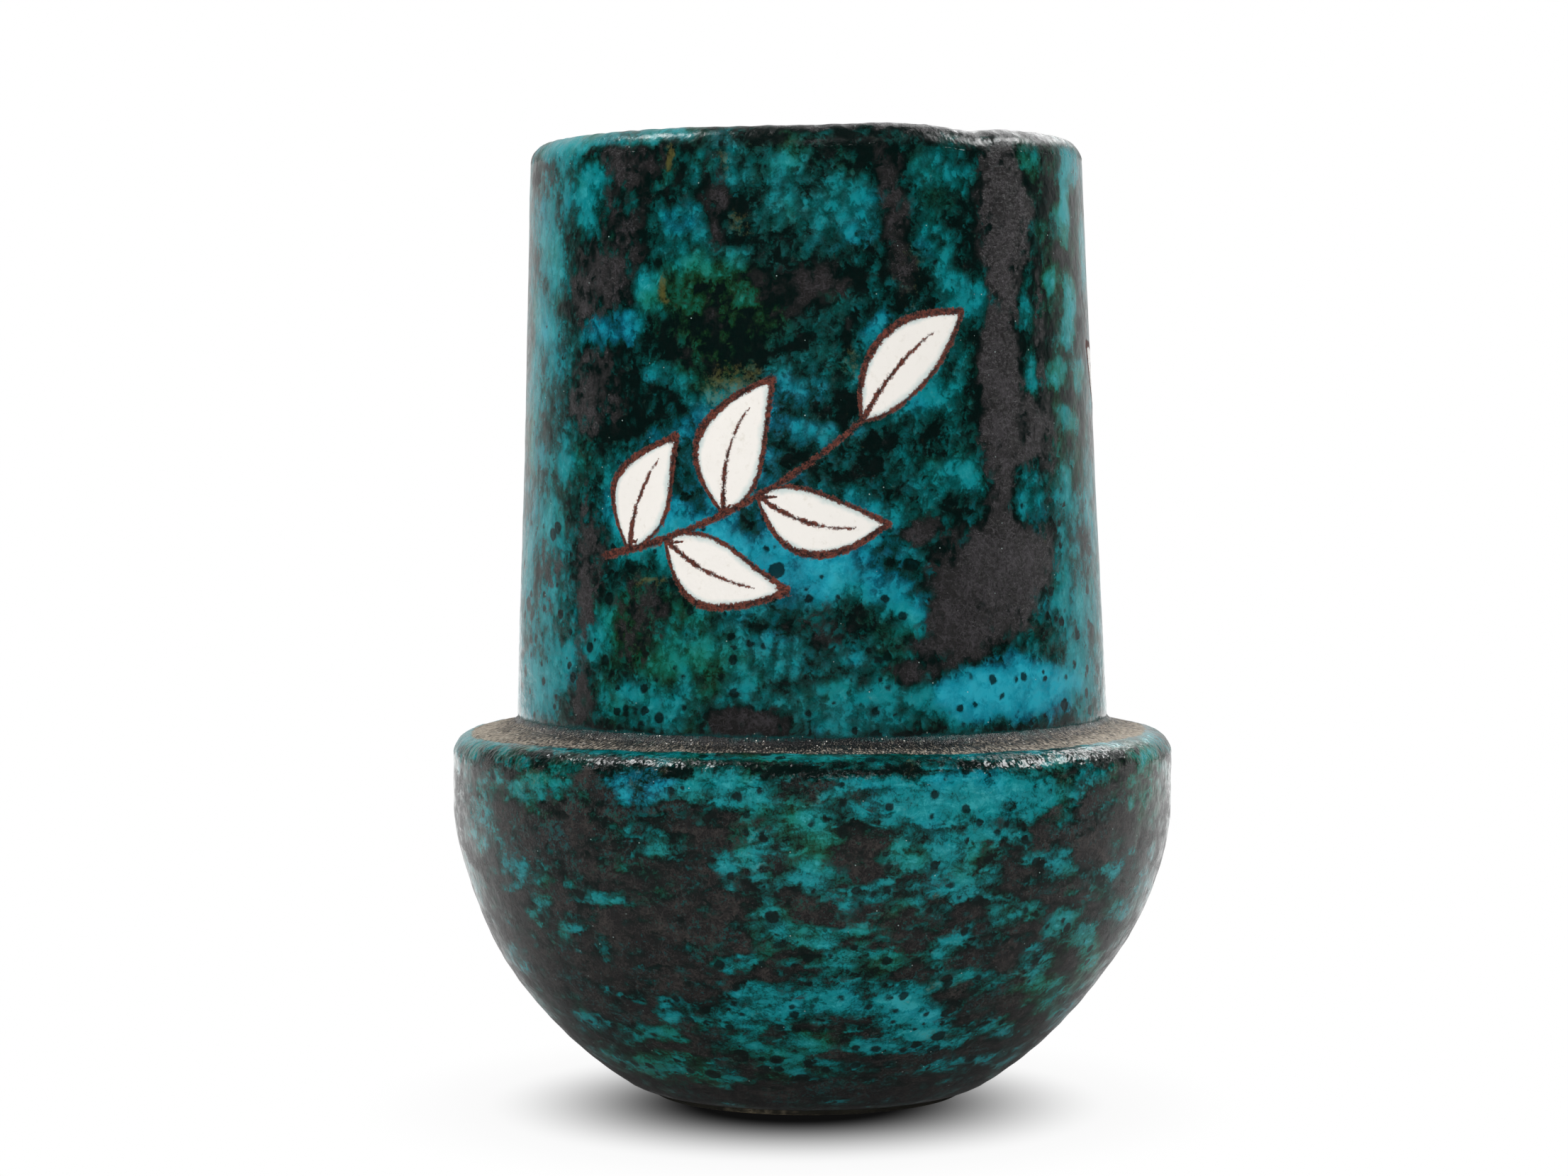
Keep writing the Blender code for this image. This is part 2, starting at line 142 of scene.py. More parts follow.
# Strokes on the bowl: angle, then the way down from the ledge's root along the wall, and the rest as on
# the neck, with a slant that falls to the right
BOWL_TURQUOISE = (
    (-46, 19, 10, 3, 0, 1.1), (-13, 18, 14, 4, 0, 1.1), (20, 18.5, 24, 5, 0, 1.1),
    (44, 17, 12, 4, 0, 0.9), (-3, 26, 10, 5, 0, 0.9), (-10, 33, 5, 4, 0, 0.9), (20, 25, 16, 5, 0, 0.95),
    (18, 31, 12, 3.5, 0, 1.0), (25, 37, 9, 3.5, 0, 1.1), (12, 38, 5, 3, 0, 0.9), (41, 32, 5, 3, 0, 0.8),
    (52, 38.5, 7, 3.5, 0, 0.9), (-24, 29, 6, 3, 0, 0.8), (-63, 29, 12, 6, 0, 0.7),
    (-54, 36, 6, 5, 0, 0.8), (-47, 36, 3, 3, 0, 0.6), (-50, 44.5, 5, 4, 0, 1.0), (-43, 50, 4, 3, 0, 0.8),
    (46, 48, 10, 3.5, 26, 1.1), (42, 56, 8, 4, 26, 1.0), (55, 54, 9, 3.5, 26, 1.0),
    (52, 66, 11, 4, 26, 1.0), (62, 46, 9, 3, 26, 0.9), (64, 62, 10, 4, 26, 0.9), (2, 47, 11, 3, 0, 0.9),
    (8, 53, 11, 3.5, 0, 0.9), (-11, 53, 5, 2, 0, 0.7), (22, 50.5, 4, 4, 0, 0.8), (24, 58, 7, 3, 0, 1.0),
    (-35, 62, 6, 3, 0, 0.7), (-25, 66, 5, 4, 0, 0.8), (-5, 63, 14, 5, 0, 1.1), (11, 62, 10, 5, 0, 1.0),
    (19, 65, 8, 5, 0, 1.0), (-8, 75, 11, 4.5, 0, 0.9), (10, 75.5, 10, 3, 0, 1.0), (26, 75, 11, 4, 0, 1.1),
    (22, 70, 9, 3.5, 0, 1.0), (-28, 83, 11, 4, 0, 1.0), (-43, 85, 10, 4, 0, 0.9), (-56, 86, 9, 5, 0, 0.8),
    (12, 96, 7, 2, 0, 0.6), (-50, 72, 7, 3, 0, 0.7), (65, 20, 10, 8, 0, 0.8), (-72, 14, 14, 5, 0, 0.6),
    (-76, 42, 12, 6, 0, 0.7), (72, 44, 12, 5, 10, 0.8), (-66, 58, 9, 4, 0, 0.8),
    (-30, 74, 7, 2.5, 0, 0.7), (-18, 88, 9, 2.5, 0, 0.6), (36, 84, 8, 2.5, 0, 0.7),
    (54, 84, 9, 4, 0, 0.7), (66, 74, 10, 4, 10, 0.8), (0, 34, 6, 4, 0, 0.8), (-24, 46, 15, 6, 0, -0.6),
    (-33, 40, 9, 1.6, 6, 0.8), (-20, 50, 10, 1.5, 4, 0.7), (6, 40, 5, 4, 0, 0.8), (-6, 41, 4, 5, 0, 0.8),
    (33, 44, 7, 3, 0, 0.8), (-36, 60, 9, 4, 0, -0.5), (32, 20, 10, 5, 0, 0.9), (34, 60, 5, 4, 0, 0.7),
    (0, 82, 9, 3, 0, 0.7), (42, 74, 8, 3, 15, 0.8), (-38, 74, 6, 3, 0, 0.7), (-15, 68, 6, 3, 0, 0.7),
    (-60, 20, 7, 4, 0, 0.8), (-70, 72, 8, 4, 0, 0.7), (-27, 17, 8, 4, 0, 0.9), (-66, 11, 14, 4, 0, 1.0),
    (-82, 12, 14, 4, 0, 1.0), (66, 12, 14, 4, 0, 1.1), (82, 12, 14, 5, 0, 1.0), (25, 54, 4, 5, 0, -0.5),
    (5, 93, 30, 5, 0, -0.5), (48, 30, 9, 4, 0, -0.6), (-40, 27, 8, 4, 0, -0.5),
)
BOWL_BLUE = (
    (-27, 17, 10, 5, 0, 1.3), (20, 20, 26, 8, 0, 0.7), (0, 62, 24, 8, 0, 0.5), (25, 72, 14, 8, 0, 0.3),
    (62, 20, 14, 14, 0, -0.9), (55, 62, 18, 12, 0, -0.6), (-5, 28, 16, 7, 0, -0.6),
    (-46, 20, 14, 6, 0, -0.3), (-30, 84, 26, 8, 0, -0.5), (116, 20, 24, 9, 0, 0.5),
    (142, 40, 22, 10, 0, -0.6), (-150, 46, 22, 10, 0, 0.5), (-110, 40, 22, 14, 0, -0.4),
)
# A stroke is whole up to the first share of its half size, and gone at the second
STROKE_EDGE = (0.5, 1.35)

# Leaf sprigs: angle of the middle, its height, size, and 1 or -1 for rising to the right or the left
SPRIGS = ((-6, 132, 1.0, 1), (112, 128, 0.95, -1), (-128, 134, 1.0, 1))
# Leaves of a sprig: share of the stem where each grows, turn from it in degrees, length, half width, arch
LEAVES = (
    (0.12, 50, 25, 6.4, 0.10), (0.26, -40, 27, 6.2, -0.10), (0.48, 44, 28, 7.0, 0.12),
    (0.62, -42, 26, 6.4, -0.12), (1.00, 4, 30, 6.6, 0.08),
)
# Corners of the stem's curve in mm, its steps, and its half width at the root and what it loses to the tip
STEM = ((-38.0, -17.0), (-8.0, -12.0), (17.0, 10.0))
STEM_STEPS = 40
STEM_WIDTH, STEM_TAPER = 0.80, 0.35
# Depth or distance in mm that stands for nowhere near a leaf or a line
FAR = 60.0

# Rises and dips of the lip: angle and spread in degrees, height in mm
LIP_WAVES = ((18, 10, 0.45), (37, 6, -0.75), (150, 18, 0.30), (-125, 14, -0.35))
# Dark glaze that ran onto the joint or, with a minus sign, paler slip: angle, spread and strength
JOINT_STAINS = (
    (-4, 22, 0.75), (-44, 22, 0.50), (26, 18, 0.40), (112, 16, 0.8), (-140, 24, 0.8), (160, 20, 0.7),
    (-82, 18, -0.35), (74, 20, -0.30),
)
# How far the slip runs out on the ledge in mm, and what that gains or loses round the vase
LEDGE_SLIP = 8.2
LEDGE_SLIP_WAVES = ((-72, 24, 2.4), (-8, 24, -1.8), (30, 10, 0.7), (150, 40, -0.8))
# Grit: radius of the ring its grains are laid on, and how they are drawn out from the axis
GRIT_RING = 66.0
GRIT_STRETCH = -0.18

# How each glaze was brushed: squeeze of its noise along x, y and z, liveliness of the turquoise and pull of
# its veins, where the black's film starts and how the black's depth adds to it, how ragged the black is, and
# how strong its teal flecks are
NECK_GLAZE = SimpleNamespace(
    squeeze=(1.0, 1.0, 0.85), lively=1.15, veined=-0.06, film_start=0.0, film_depth=0.6,
    ragged=0.10, flecked=0.0,
)
BOWL_GLAZE = SimpleNamespace(
    squeeze=(0.5, 0.5, 1.0), lively=1.5, veined=-0.20, film_start=-0.3, film_depth=0.0,
    ragged=0.22, flecked=0.8,
)
# Dark spots in the glaze: spacing in mm and widest radius as a share of it; their soft edge in mm
SPOT_SIZES = ((3.0, 0.38), (6.5, 0.27))
SPOT_EDGE = 0.24

# An open outline starts and ends this far from the axis, and the belly's curve starts this far above its
# lower edge, both in mm
AXIS_GAP = 1.0
BELLY_START = 0.5

# The table's width, shift and squeeze of its shadow round the foot, and the point that the lamps face; in
# metres, but for the squeeze
TABLE_SIZE = 6.0
SHADOW_SHIFT = (0.003, 0.0165, 0.0)
SHADOW_SQUEEZE = (1.05, 1.0, 1.0)
LAMP_TARGET = (0.0, 0.0, 0.13)

# The photograph: its size, focal length, and the vase's axis and the horizon in it, in pixels
PHOTO_SIZE = (2212, 1659)
FOCAL_PIXELS = 5450.0
AXIS_PIXEL = 1146.0
HORIZON_PIXEL = 590.0
SENSOR_MM = 36.0


def srgb(*levels):
    """A colour given as it looks on screen, from 0 to 255, as the linear values that Blender keeps."""
    shares = [level / 255 for level in levels]
    return tuple(((share + 0.055) / 1.055) ** 2.4 if share > 0.04 else share / 12.92 for share in shares)


def length_property(name, description, default):
    """A length in metres."""
    return FloatProperty(
        name=name, description=description, default=default, min=0.0, precision=5, unit="LENGTH"
    )


def angle_property(name, description, degrees):
    """An angle, given in degrees."""
    return FloatProperty(name=name, description=description, default=math.radians(degrees), subtype="ANGLE")


def colour_property(name, description, default):
    """A colour."""
    return FloatVectorProperty(
        name=name, description=description, default=default, size=3, min=0.0, max=1.0, subtype="COLOR"
    )


def power_property(name, description, default):
    """A lamp's power in watts."""
    return FloatProperty(name=name, description=description, default=default, min=0.0, unit="POWER")


def columns_property(default):
    """Steps of a wall round the axis."""
    return IntProperty(name="Columns", description="Steps round the axis", default=default, min=24)


class VaseBowlSizes(bpy.types.PropertyGroup):
    """Sizes of the bowl."""

    belly_radius: length_property("Belly radius", "Outer radius of the belly", BOWL_HIGH.x)
    root_height: length_property("Root height", "Height of the ledge at the neck", BOWL_HIGH.z - LEDGE_DROP)
    foot_lift: length_property("Foot lift", "The bowl's lower edge above the table", BOWL_LOW.z)
    foot_radius: length_property("Foot radius", "Radius of the bowl's lower edge", 34.6 * MM)
    foot_slope: angle_property("Foot slope", "How steeply the belly's curve reaches the foot", 29.0)
    foot_handle: length_property("Foot handle", "Pull of the belly's curve at the foot", 26.8 * MM)
    belly_handle: length_property("Belly handle", "Pull of the belly's curve at its top", 20.6 * MM)
    upright_band: length_property("Upright band", "Plain upright wall under the shoulder", 9.4 * MM)
    shoulder_round: length_property("Shoulder round", "Radius of the shoulder's rounding", 4.9 * MM)
    ledge_slope: angle_property("Ledge slope", "Fall of the ledge from its root outwards", 12.0)
    wall: length_property("Wall", "Thickness of the wall", 8.0 * MM)
    floor: length_property("Floor", "Height of the inside floor above the table", 10.5 * MM)
    floor_bend: length_property("Floor bend", "Height above the floor where the wall bends", 6.0 * MM)
    gallery_depth: length_property("Gallery depth", "Depth of the gallery that takes the neck", 4.5 * MM)
    ledge_wall: length_property("Ledge wall", "Clay under the gallery's floor", 6.5 * MM)
    inner_round: length_property("Inner round", "Radius of the rounding under the ledge", 5.0 * MM)
    skirt: length_property("Skirt", "Radius of the lower edge's rounding", 0.7 * MM)
    opening: length_property("Opening", "Radius of the opening under the neck", COIL_HIGH.x - 3.5 * MM)
    recess: length_property("Recess", "Height of the recess under the base", FOOT_HIGH.z + FIRED_GAP)
    lean: length_property("Lean", "How far the lower half stands to the left", 1.0 * MM)
    tilt: length_property("Tilt", "Rise of the shoulder to the right", 0.1 * MM)
    columns: columns_property(536)


class VaseNeckSizes(bpy.types.PropertyGroup):
    """Sizes of the neck."""

    foot_radius: length_property("Foot radius", "Outer radius at the neck's foot", NECK_HIGH.x)
    foot_height: length_property("Foot height", "Height of the neck's foot", NECK_LOW.z)
    lip_height: length_property("Lip height", "Height of the lip where it is level", 200.0 * MM)
    taper: length_property("Taper", "Radius lost between foot and lip", 4.3 * MM)
    wall: length_property("Wall", "Thickness of the wall", 7.0 * MM)
    lip_round: length_property("Lip round", "Outer rounding of the lip", 4.6 * MM)
    lip_inner_round: length_property("Lip inner round", "Inner rounding of the lip", 2.2 * MM)
    lean: length_property("Lean", "How far the lip's centre stands to the left", 1.4 * MM)
    tilt: length_property("Tilt", "Rise of the lip to the right", 0.45 * MM)
    columns: columns_property(540)


class VaseJointSizes(bpy.types.PropertyGroup):
    """Sizes of the fillet, the coil and the foot ring."""

    fillet_height: length_property("Fillet height", "How far the fillet climbs the neck", 2.1 * MM)
    fillet_width: length_property("Fillet width", "How far the fillet runs out on the ledge", 2.8 * MM)
    coil_height: length_property("Coil height", "Height of the inner coil", COIL_HIGH.z - COIL_LOW.z)
    ring_width: length_property("Ring width", "Width of the foot ring", 5.0 * MM)
    ring_round: length_property("Ring round", "Easing of the foot ring's lower edges", 0.8 * MM)
    columns: columns_property(420)


class VaseColours(bpy.types.PropertyGroup):
    """Colours of glaze, enamel and clay."""

    milk: colour_property("Milk", "Glaze where it pooled and turned milky", srgb(44, 150, 156))
    blue_milk: colour_property("Blue milk", "Bluer milky glaze", srgb(36, 160, 180))
    turquoise: colour_property("Turquoise", "Glaze where it lies thick", srgb(8, 118, 124))
    blue: colour_property("Blue", "Bluer glaze", srgb(12, 126, 146))
    green: colour_property("Green", "Greener glaze", srgb(16, 108, 94))
    teal: colour_property("Teal", "Glaze where it thins", srgb(3, 73, 73))
    blue_teal: colour_property("Blue teal", "Bluer thin glaze", srgb(4, 74, 92))
    green_teal: colour_property("Green teal", "Greener thin glaze", srgb(10, 70, 52))
    deep: colour_property("Deep", "Glaze that took up black", srgb(4, 45, 41))
    green_deep: colour_property("Deep green", "Greener glaze that took up black", srgb(14, 44, 22))
    night: colour_property("Night", "Glaze that is nearly black", srgb(4, 18, 16))
    # Colour of the painted glints in the glaze's pinholes
    pinhole_glint: colour_property("Pinhole", "Pinholes that catch the light", srgb(190, 214, 210))
    black: colour_property("Black", "Dry black", srgb(30, 29, 29))
    ash: colour_property("Ash", "Paler film on the neck's black", srgb(56, 53, 56))
    rust: colour_property("Rust", "Paler film on the bowl's black", srgb(62, 57, 54))
    olive: colour_property("Olive", "Broken glaze", srgb(86, 82, 42))
    white: colour_property("White", "Enamel of the leaves", srgb(232, 228, 222))
    speckle: colour_property("Speckle", "Speckles in the enamel", srgb(196, 188, 172))
    brown: colour_property("Brown", "Lines of the leaves where they are worn", srgb(112, 52, 36))
    dark_brown: colour_property("Dark brown", "Lines of the leaves", srgb(34, 18, 15))
    grit: colour_property("Grit", "Slip of the joint", srgb(196, 182, 164))
    grit_dark: colour_property("Dark grit", "Dark grains in the slip", srgb(30, 30, 31))
    # Colour of the painted glints on the grit
    grit_glint: colour_property("Glinting grit", "Grains that catch the light", srgb(245, 240, 232))
    clay: colour_property("Clay", "Bare clay of the foot", srgb(190, 176, 148))
    iron: colour_property("Iron", "Iron specks in the clay", srgb(96, 66, 44))


class VaseStudio(bpy.types.PropertyGroup):
    """Camera and lamps."""

    distance: length_property("Distance", "Camera to the vase's axis", 816.5 * MM)
    eye_height: length_property("Eye height", "Camera above the table", 142.3 * MM)
    lamp_distance: length_property("Lamp distance", "Lamps to the vase", 1.2)
    left_power: power_property("Left power", "Power of the left lamp", 4.5)
    right_power: power_property("Right power", "Power of the right lamp", 6.5)
    small_power: power_property("Small power", "Power of the small lamp", 0.45)
    fill_power: power_property("Fill power", "Power of the front lamp", 8.5)
    back_power: power_property("Back power", "Power of the back lamp", 3.0)
    ambient: FloatProperty(name="Ambient", description="Light from all round", default=0.40, min=0.0)


def smooth(low, high, value):
    """0 below low, 1 above high, and an S-curve between."""
    share = np.clip((value - low) / (high - low), 0.0, 1.0)
    return share * share * (3.0 - 2.0 * share)


def arc(centre, radius, start, end, steps=24):
    """Points of an arc in the (radius, height) plane; angles in degrees from the radial direction."""
    turn = np.radians(np.linspace(start, end, steps + 1))
    return [(centre[0] + radius * math.cos(a), centre[1] + radius * math.sin(a)) for a in turn]


def bezier(corners, steps=60):
    """Points of a Bezier curve of any degree."""
    points = np.array([corners] * (steps + 1), float)
    share = np.linspace(0.0, 1.0, steps + 1)[:, None, None]
    while points.shape[1] > 1:
        points = points[:, :-1] * (1 - share) + points[:, 1:] * share
    return [tuple(point) for point in points[:, 0]]


def spaced(points, spacing):
    """The same run of points, stepped evenly."""
    points = np.array(points, float)
    way = np.concatenate([[0.0], np.cumsum(np.hypot(*np.diff(points, axis=0).T))])
    steps = max(1, round(way[-1] / spacing))
    stops = np.linspace(0.0, way[-1], steps + 1)
    return np.stack([np.interp(stops, way, points[:, i]) for i in (0, 1)], axis=1)


class Wall:
    """A turned wall in mm, as a grid: rows along its outline, columns round the axis.

    The outline is a list of named stretches (name, points, spacing). It runs up the outside and down the
    inside, so that its normal points out of the clay. Angles are measured from the front, to the right.
    """

    def __init__(self, stretches, columns, closed):
        rows = []
        names = []
        for name, points, spacing in stretches:
            line = spaced(points, spacing)
            line = line[1:] if rows else line
            rows.append(line)
            names += [name] * len(line)
        outline = np.concatenate(rows)
        if closed:
            outline = outline[:-1]
            names = names[:-1]
        self.closed = closed
        self.columns = columns
        self.names = np.array(names)
        before = np.roll(outline, 1, axis=0)
        after = np.roll(outline, -1, axis=0)
        if not closed:
            before[0] = outline[0]
            after[-1] = outline[-1]
        along = after - before
        along /= np.maximum(np.hypot(*along.T), 1e-9)[:, None]
        steps = np.hypot(*np.diff(outline, axis=0).T)
        turn = np.linspace(-math.pi, math.pi, columns, endpoint=False)
        self.way, self.angle = np.meshgrid(np.concatenate([[0.0], np.cumsum(steps)]), turn, indexing="ij")
        self.radius = np.repeat(outline[:, :1], columns, axis=1)
        self.height = np.repeat(outline[:, 1:], columns, axis=1)
        self.out_radius = np.repeat(along[:, 1:], columns, axis=1)
        self.out_height = np.repeat(-along[:, :1], columns, axis=1)

    def on(self, *names):
        """1 on the named stretches and 0 elsewhere."""
        return np.repeat(np.isin(self.names, names)[:, None], self.columns, axis=1).astype(float)

    def points(self, squeeze=1.0, height=None):
        """Places in mm; squeeze narrows the wall, so that what is drawn on it runs round it."""
        height = self.height if height is None else height
        round_x = self.radius * np.sin(self.angle) * squeeze
        round_y = -self.radius * np.cos(self.angle) * squeeze
        return np.stack([round_x, round_y, height], axis=-1)

    def push(self, relief):
        """Moves the wall outwards by a relief in mm."""
        self.radius = self.radius + self.out_radius * relief
        self.height = self.height + self.out_height * relief

    def mesh(self, name, shift=0.0):
        """The wall as a mesh in metres; an open outline is closed on the axis at both ends."""
        grid = self.points() + shift
        count, columns = self.angle.shape
        rings = np.arange(count * columns).reshape(count, columns)
        lower, upper = (rings, np.roll(rings, -1, axis=0)) if self.closed else (rings[:-1], rings[1:])
        lower_next, upper_next = np.roll(lower, -1, axis=1), np.roll(upper, -1, axis=1)
        faces = np.stack([lower, lower_next, upper_next, upper], axis=-1).reshape(-1, 4).tolist()
        points = grid.reshape(-1, 3)
        if not self.closed:
            ends = grid[[0, -1]].mean(axis=1)
            points = np.concatenate([points, ends])
            first, last = rings[0].tolist(), rings[-1].tolist()
            for k in range(columns):
                faces.append([rings.size, first[(k + 1) % columns], first[k]])
                faces.append([rings.size + 1, last[k], last[(k + 1) % columns]])
        mesh = bpy.data.meshes.new(name)
        mesh.from_pydata((points * MM).tolist(), [], faces)
        mesh.update()
        return mesh

    def store(self, mesh, fields):
        """Keeps named fields as mesh attributes, for the materials."""
        for name, field in fields.items():
            values = field.reshape(-1)
            if not self.closed:
                values = np.concatenate([values, field[[0, -1]].mean(axis=1)])
            layer = mesh.attributes.new(name, "FLOAT", "POINT")
            layer.data.foreach_set("value", np.ascontiguousarray(values, dtype=np.float32))


def clouds(points, size, octaves, seed, calm=1.0):
    """Random clouds from about -1 to 1, with lumps of a size in mm; the less calm, the more ragged."""
    flat = points.reshape(-1, 3) / size + np.array([seed * 17.13, seed * 5.71, seed * 9.37])
    values = [noise.fractal(place, calm, 2.0, octaves) for place in flat.tolist()]
    return np.array(values).reshape(points.shape[:-1])


def turned_from(angle, turn):
    """Angles from a place that is given in degrees from the front, up to half a turn each way."""
    return np.mod(angle - math.radians(turn) + math.pi, math.tau) - math.pi


def humps(angle, places):
    """Sum of soft humps round the axis, each with its angle and spread in degrees and its strength."""
    total = np.zeros_like(angle)
    for turn, spread, strength in places:
        total += strength * np.exp(-((turned_from(angle, turn) / math.radians(spread)) ** 2))
    return total


def brushed(strokes, wall, place, wander):
    """Sum of brush strokes on a wall, with edges that wander by two fields in mm."""
    total = np.zeros_like(wall.angle)
    for turn, height, half_length, half_width, slant, strength in strokes:
        across = wall.radius * turned_from(wall.angle, turn) + wander[0]
        up = place - height + wander[1]
        cosine, sine = math.cos(math.radians(slant)), math.sin(math.radians(slant))
        along = (across * cosine + up * sine) / half_length
        beside = (up * cosine - across * sine) / half_width
        total += strength * (1.0 - smooth(*STROKE_EDGE, np.hypot(along, beside)))
    return total


def piece(wall, name, node, material, shift=0.0, fields=None):
    """A finished piece, made of a wall with its fields, that stands for a CAD node."""
    mesh = wall.mesh(name, shift)
    wall.store(mesh, fields or {})
    mesh.shade_smooth()
    mesh.materials.append(material)
    thing = bpy.data.objects.new(name, mesh)
    bpy.context.scene.collection.objects.link(thing)
    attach(thing, BODY)
    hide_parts(node)


class Nodes:
    """Short ways to add nodes to a tree and wire them up."""

    def __init__(self, tree):
        self.tree = tree

    def add(self, kind, inputs=None, **settings):
        """A node with its settings; an input is a value or another node's output."""
        made = self.tree.nodes.new(kind)
        for key, value in settings.items():
            setattr(made, key, value)
        for key, value in (inputs or {}).items():
            self.put(made.inputs[key], value)
        return made

    def put(self, socket, value):
        """Sets a socket, or links an output to it."""
        if isinstance(value, bpy.types.NodeSocket):
            self.tree.links.new(value, socket)
        else:
            socket.default_value = value

    def place(self):
        """The point on the surface, in mm."""
        return self.vector("SCALE", self.add("ShaderNodeTexCoord").outputs["Object"], Scale=1.0 / MM)

    def field(self, name):
        """A field kept on the mesh."""
        return self.add("ShaderNodeAttribute", attribute_name=name).outputs["Fac"]

    def grain(self, place, size, detail=3.0, roughness=0.55, warp=0.0):
        """Noise from about -1 to 1, with lumps of a size in mm."""
        made = self.add(
            "ShaderNodeTexNoise",
            {
                "Vector": place,
                "Scale": 1.0 / size,
                "Detail": detail,
                "Roughness": roughness,
                "Distortion": warp,
            },
        )
        return self.span(made.outputs["Fac"], 0.25, 0.75, -1.0, 1.0, soft=False)

    def span(self, value, low, high, start=0.0, end=1.0, soft=True):
        """Maps a range onto another, with an S-curve if it is soft."""
        made = self.add(
            "ShaderNodeMapRange",
            {"Value": value, "From Min": low, "From Max": high, "To Min": start, "To Max": end},
            interpolation_type="SMOOTHSTEP" if soft else "LINEAR",
        )
        return made.outputs["Result"]

    def maths(self, operation, first, second=0.0):
        """One sum."""
        return self.add("ShaderNodeMath", {0: first, 1: second}, operation=operation).outputs[0]

    def times(self, first, second):
        """Product of two values."""
        return self.maths("MULTIPLY", first, second)

    def vector(self, operation, first, second=(0.0, 0.0, 0.0), **inputs):
        """One sum of vectors; a length is a value."""
        made = self.add("ShaderNodeVectorMath", {0: first, 1: second, **inputs}, operation=operation)
        return made.outputs["Value" if operation == "LENGTH" else "Vector"]

    def moved(self, place, *values):
        """A place pushed aside by a sum of values."""
        return self.vector("ADD", place, self.plus(*values))

    def dots(self, place, spacing):
        """Scattered dots, a spacing in mm apart: distance from the nearest one, and its own chance."""
        cells = self.add("ShaderNodeTexVoronoi", {"Vector": place, "Scale": 1.0 / spacing})
        chance = self.add("ShaderNodeSeparateColor", {"Color": cells.outputs["Color"]}).outputs[0]
        return cells.outputs["Distance"], chance

    def plus(self, *values):
        """Sum of values, each given as an output or as (output, factor)."""
        total = None
        for value in values:
            if isinstance(value, tuple):
                value = self.times(*value)
            total = value if total is None else self.maths("ADD", total, value)
        return total

    def mix(self, share, first, second):
        """Blends two colours, each an output or three linear values."""
        made = self.add("ShaderNodeMix", {0: share}, data_type="RGBA")
        for index, value in ((6, first), (7, second)):
            if not isinstance(value, bpy.types.NodeSocket):
                value = (*value, 1.0)
            self.put(made.inputs[index], value)
        return made.outputs[2]

    def blend(self, share, first, second):
        """Blends two values."""
        return self.add("ShaderNodeMix", {0: share, 2: first, 3: second}, data_type="FLOAT").outputs[0]

    def cover(self, share, under, over):
        """Lays a finish over another, each as colour, roughness and relief."""
        colour = self.mix(share, under[0], over[0])
        roughness = self.blend(share, under[1], over[1])
        relief = self.plus(under[2], self.times(share, over[2]))
        return colour, roughness, relief


def finish_material(name, layers, colours):
    """A material whose layers give its colour, its roughness and its relief in mm."""
    material = bpy.data.materials.new(name)
    material.use_nodes = True
    nodes = Nodes(material.node_tree)
    shader = nodes.tree.nodes["Principled BSDF"]
    colour, roughness, relief = layers(nodes, nodes.place(), colours)
    bump = nodes.add("ShaderNodeBump", {"Strength": 1.0, "Distance": MM, "Height": relief})
    nodes.put(shader.inputs["Base Color"], colour)
    nodes.put(shader.inputs["Roughness"], roughness)
    nodes.put(shader.inputs["Normal"], bump.outputs["Normal"])
    shader.inputs["IOR"].default_value = 1.5
    return material


def grit_layers(nodes, place, colours):
    """Colour, roughness and relief of the gritty slip, whose grains lie along the way out from the axis."""
    flat = nodes.vector("MULTIPLY", place, (1.0, 1.0, 0.0))
    ring = nodes.vector("SCALE", nodes.vector("NORMALIZE", flat), Scale=GRIT_RING)
    out = nodes.vector("LENGTH", flat)
    up = nodes.add("ShaderNodeSeparateXYZ", {0: place}).outputs["Z"]
    rise = nodes.add("ShaderNodeCombineXYZ", {"Z": nodes.plus(up, (out, GRIT_STRETCH))}).outputs[0]
    grains = nodes.vector("ADD", ring, rise)
    lumps = nodes.grain(grains, 0.36, 2.0, 0.6)
    clumps = nodes.grain(grains, 1.5)
    stain = nodes.field("stain")
    stain = nodes.plus(stain, (nodes.grain(place, 9.0), 0.25), (nodes.grain(place, 2.5), 0.25))
    tone = nodes.span(nodes.plus((lumps, 1.7), (clumps, 0.25), (stain, -1.1)), -1.1, 1.1)
    colour = nodes.mix(tone, colours.grit_dark, colours.grit)
    tint = nodes.span(nodes.plus(nodes.field("tint"), (lumps, 0.3), (clumps, 0.3)), 0.1, 1.1)
    colour = nodes.mix(tint, colour, colours.teal)

    # Grains that catch the light: painted glints that lighten their colour, and a glossier finish there
    distance, chance = nodes.dots(grains, 0.5)
    chance = nodes.plus(chance, (nodes.grain(place, 6.0), 0.12), (nodes.span(stain, 0.7, 1.3), -0.10))
    glint = nodes.times(nodes.span(chance, 0.86, 0.87), nodes.span(distance, 0.36, 0.16))
    colour = nodes.mix(nodes.times(glint, 0.9), colour, colours.grit_glint)
    roughness = nodes.span(nodes.plus(glint, stain), 0.2, 1.0, 0.75, 0.24)
    return colour, roughness, nodes.plus((lumps, 0.08), (distance, -0.05))


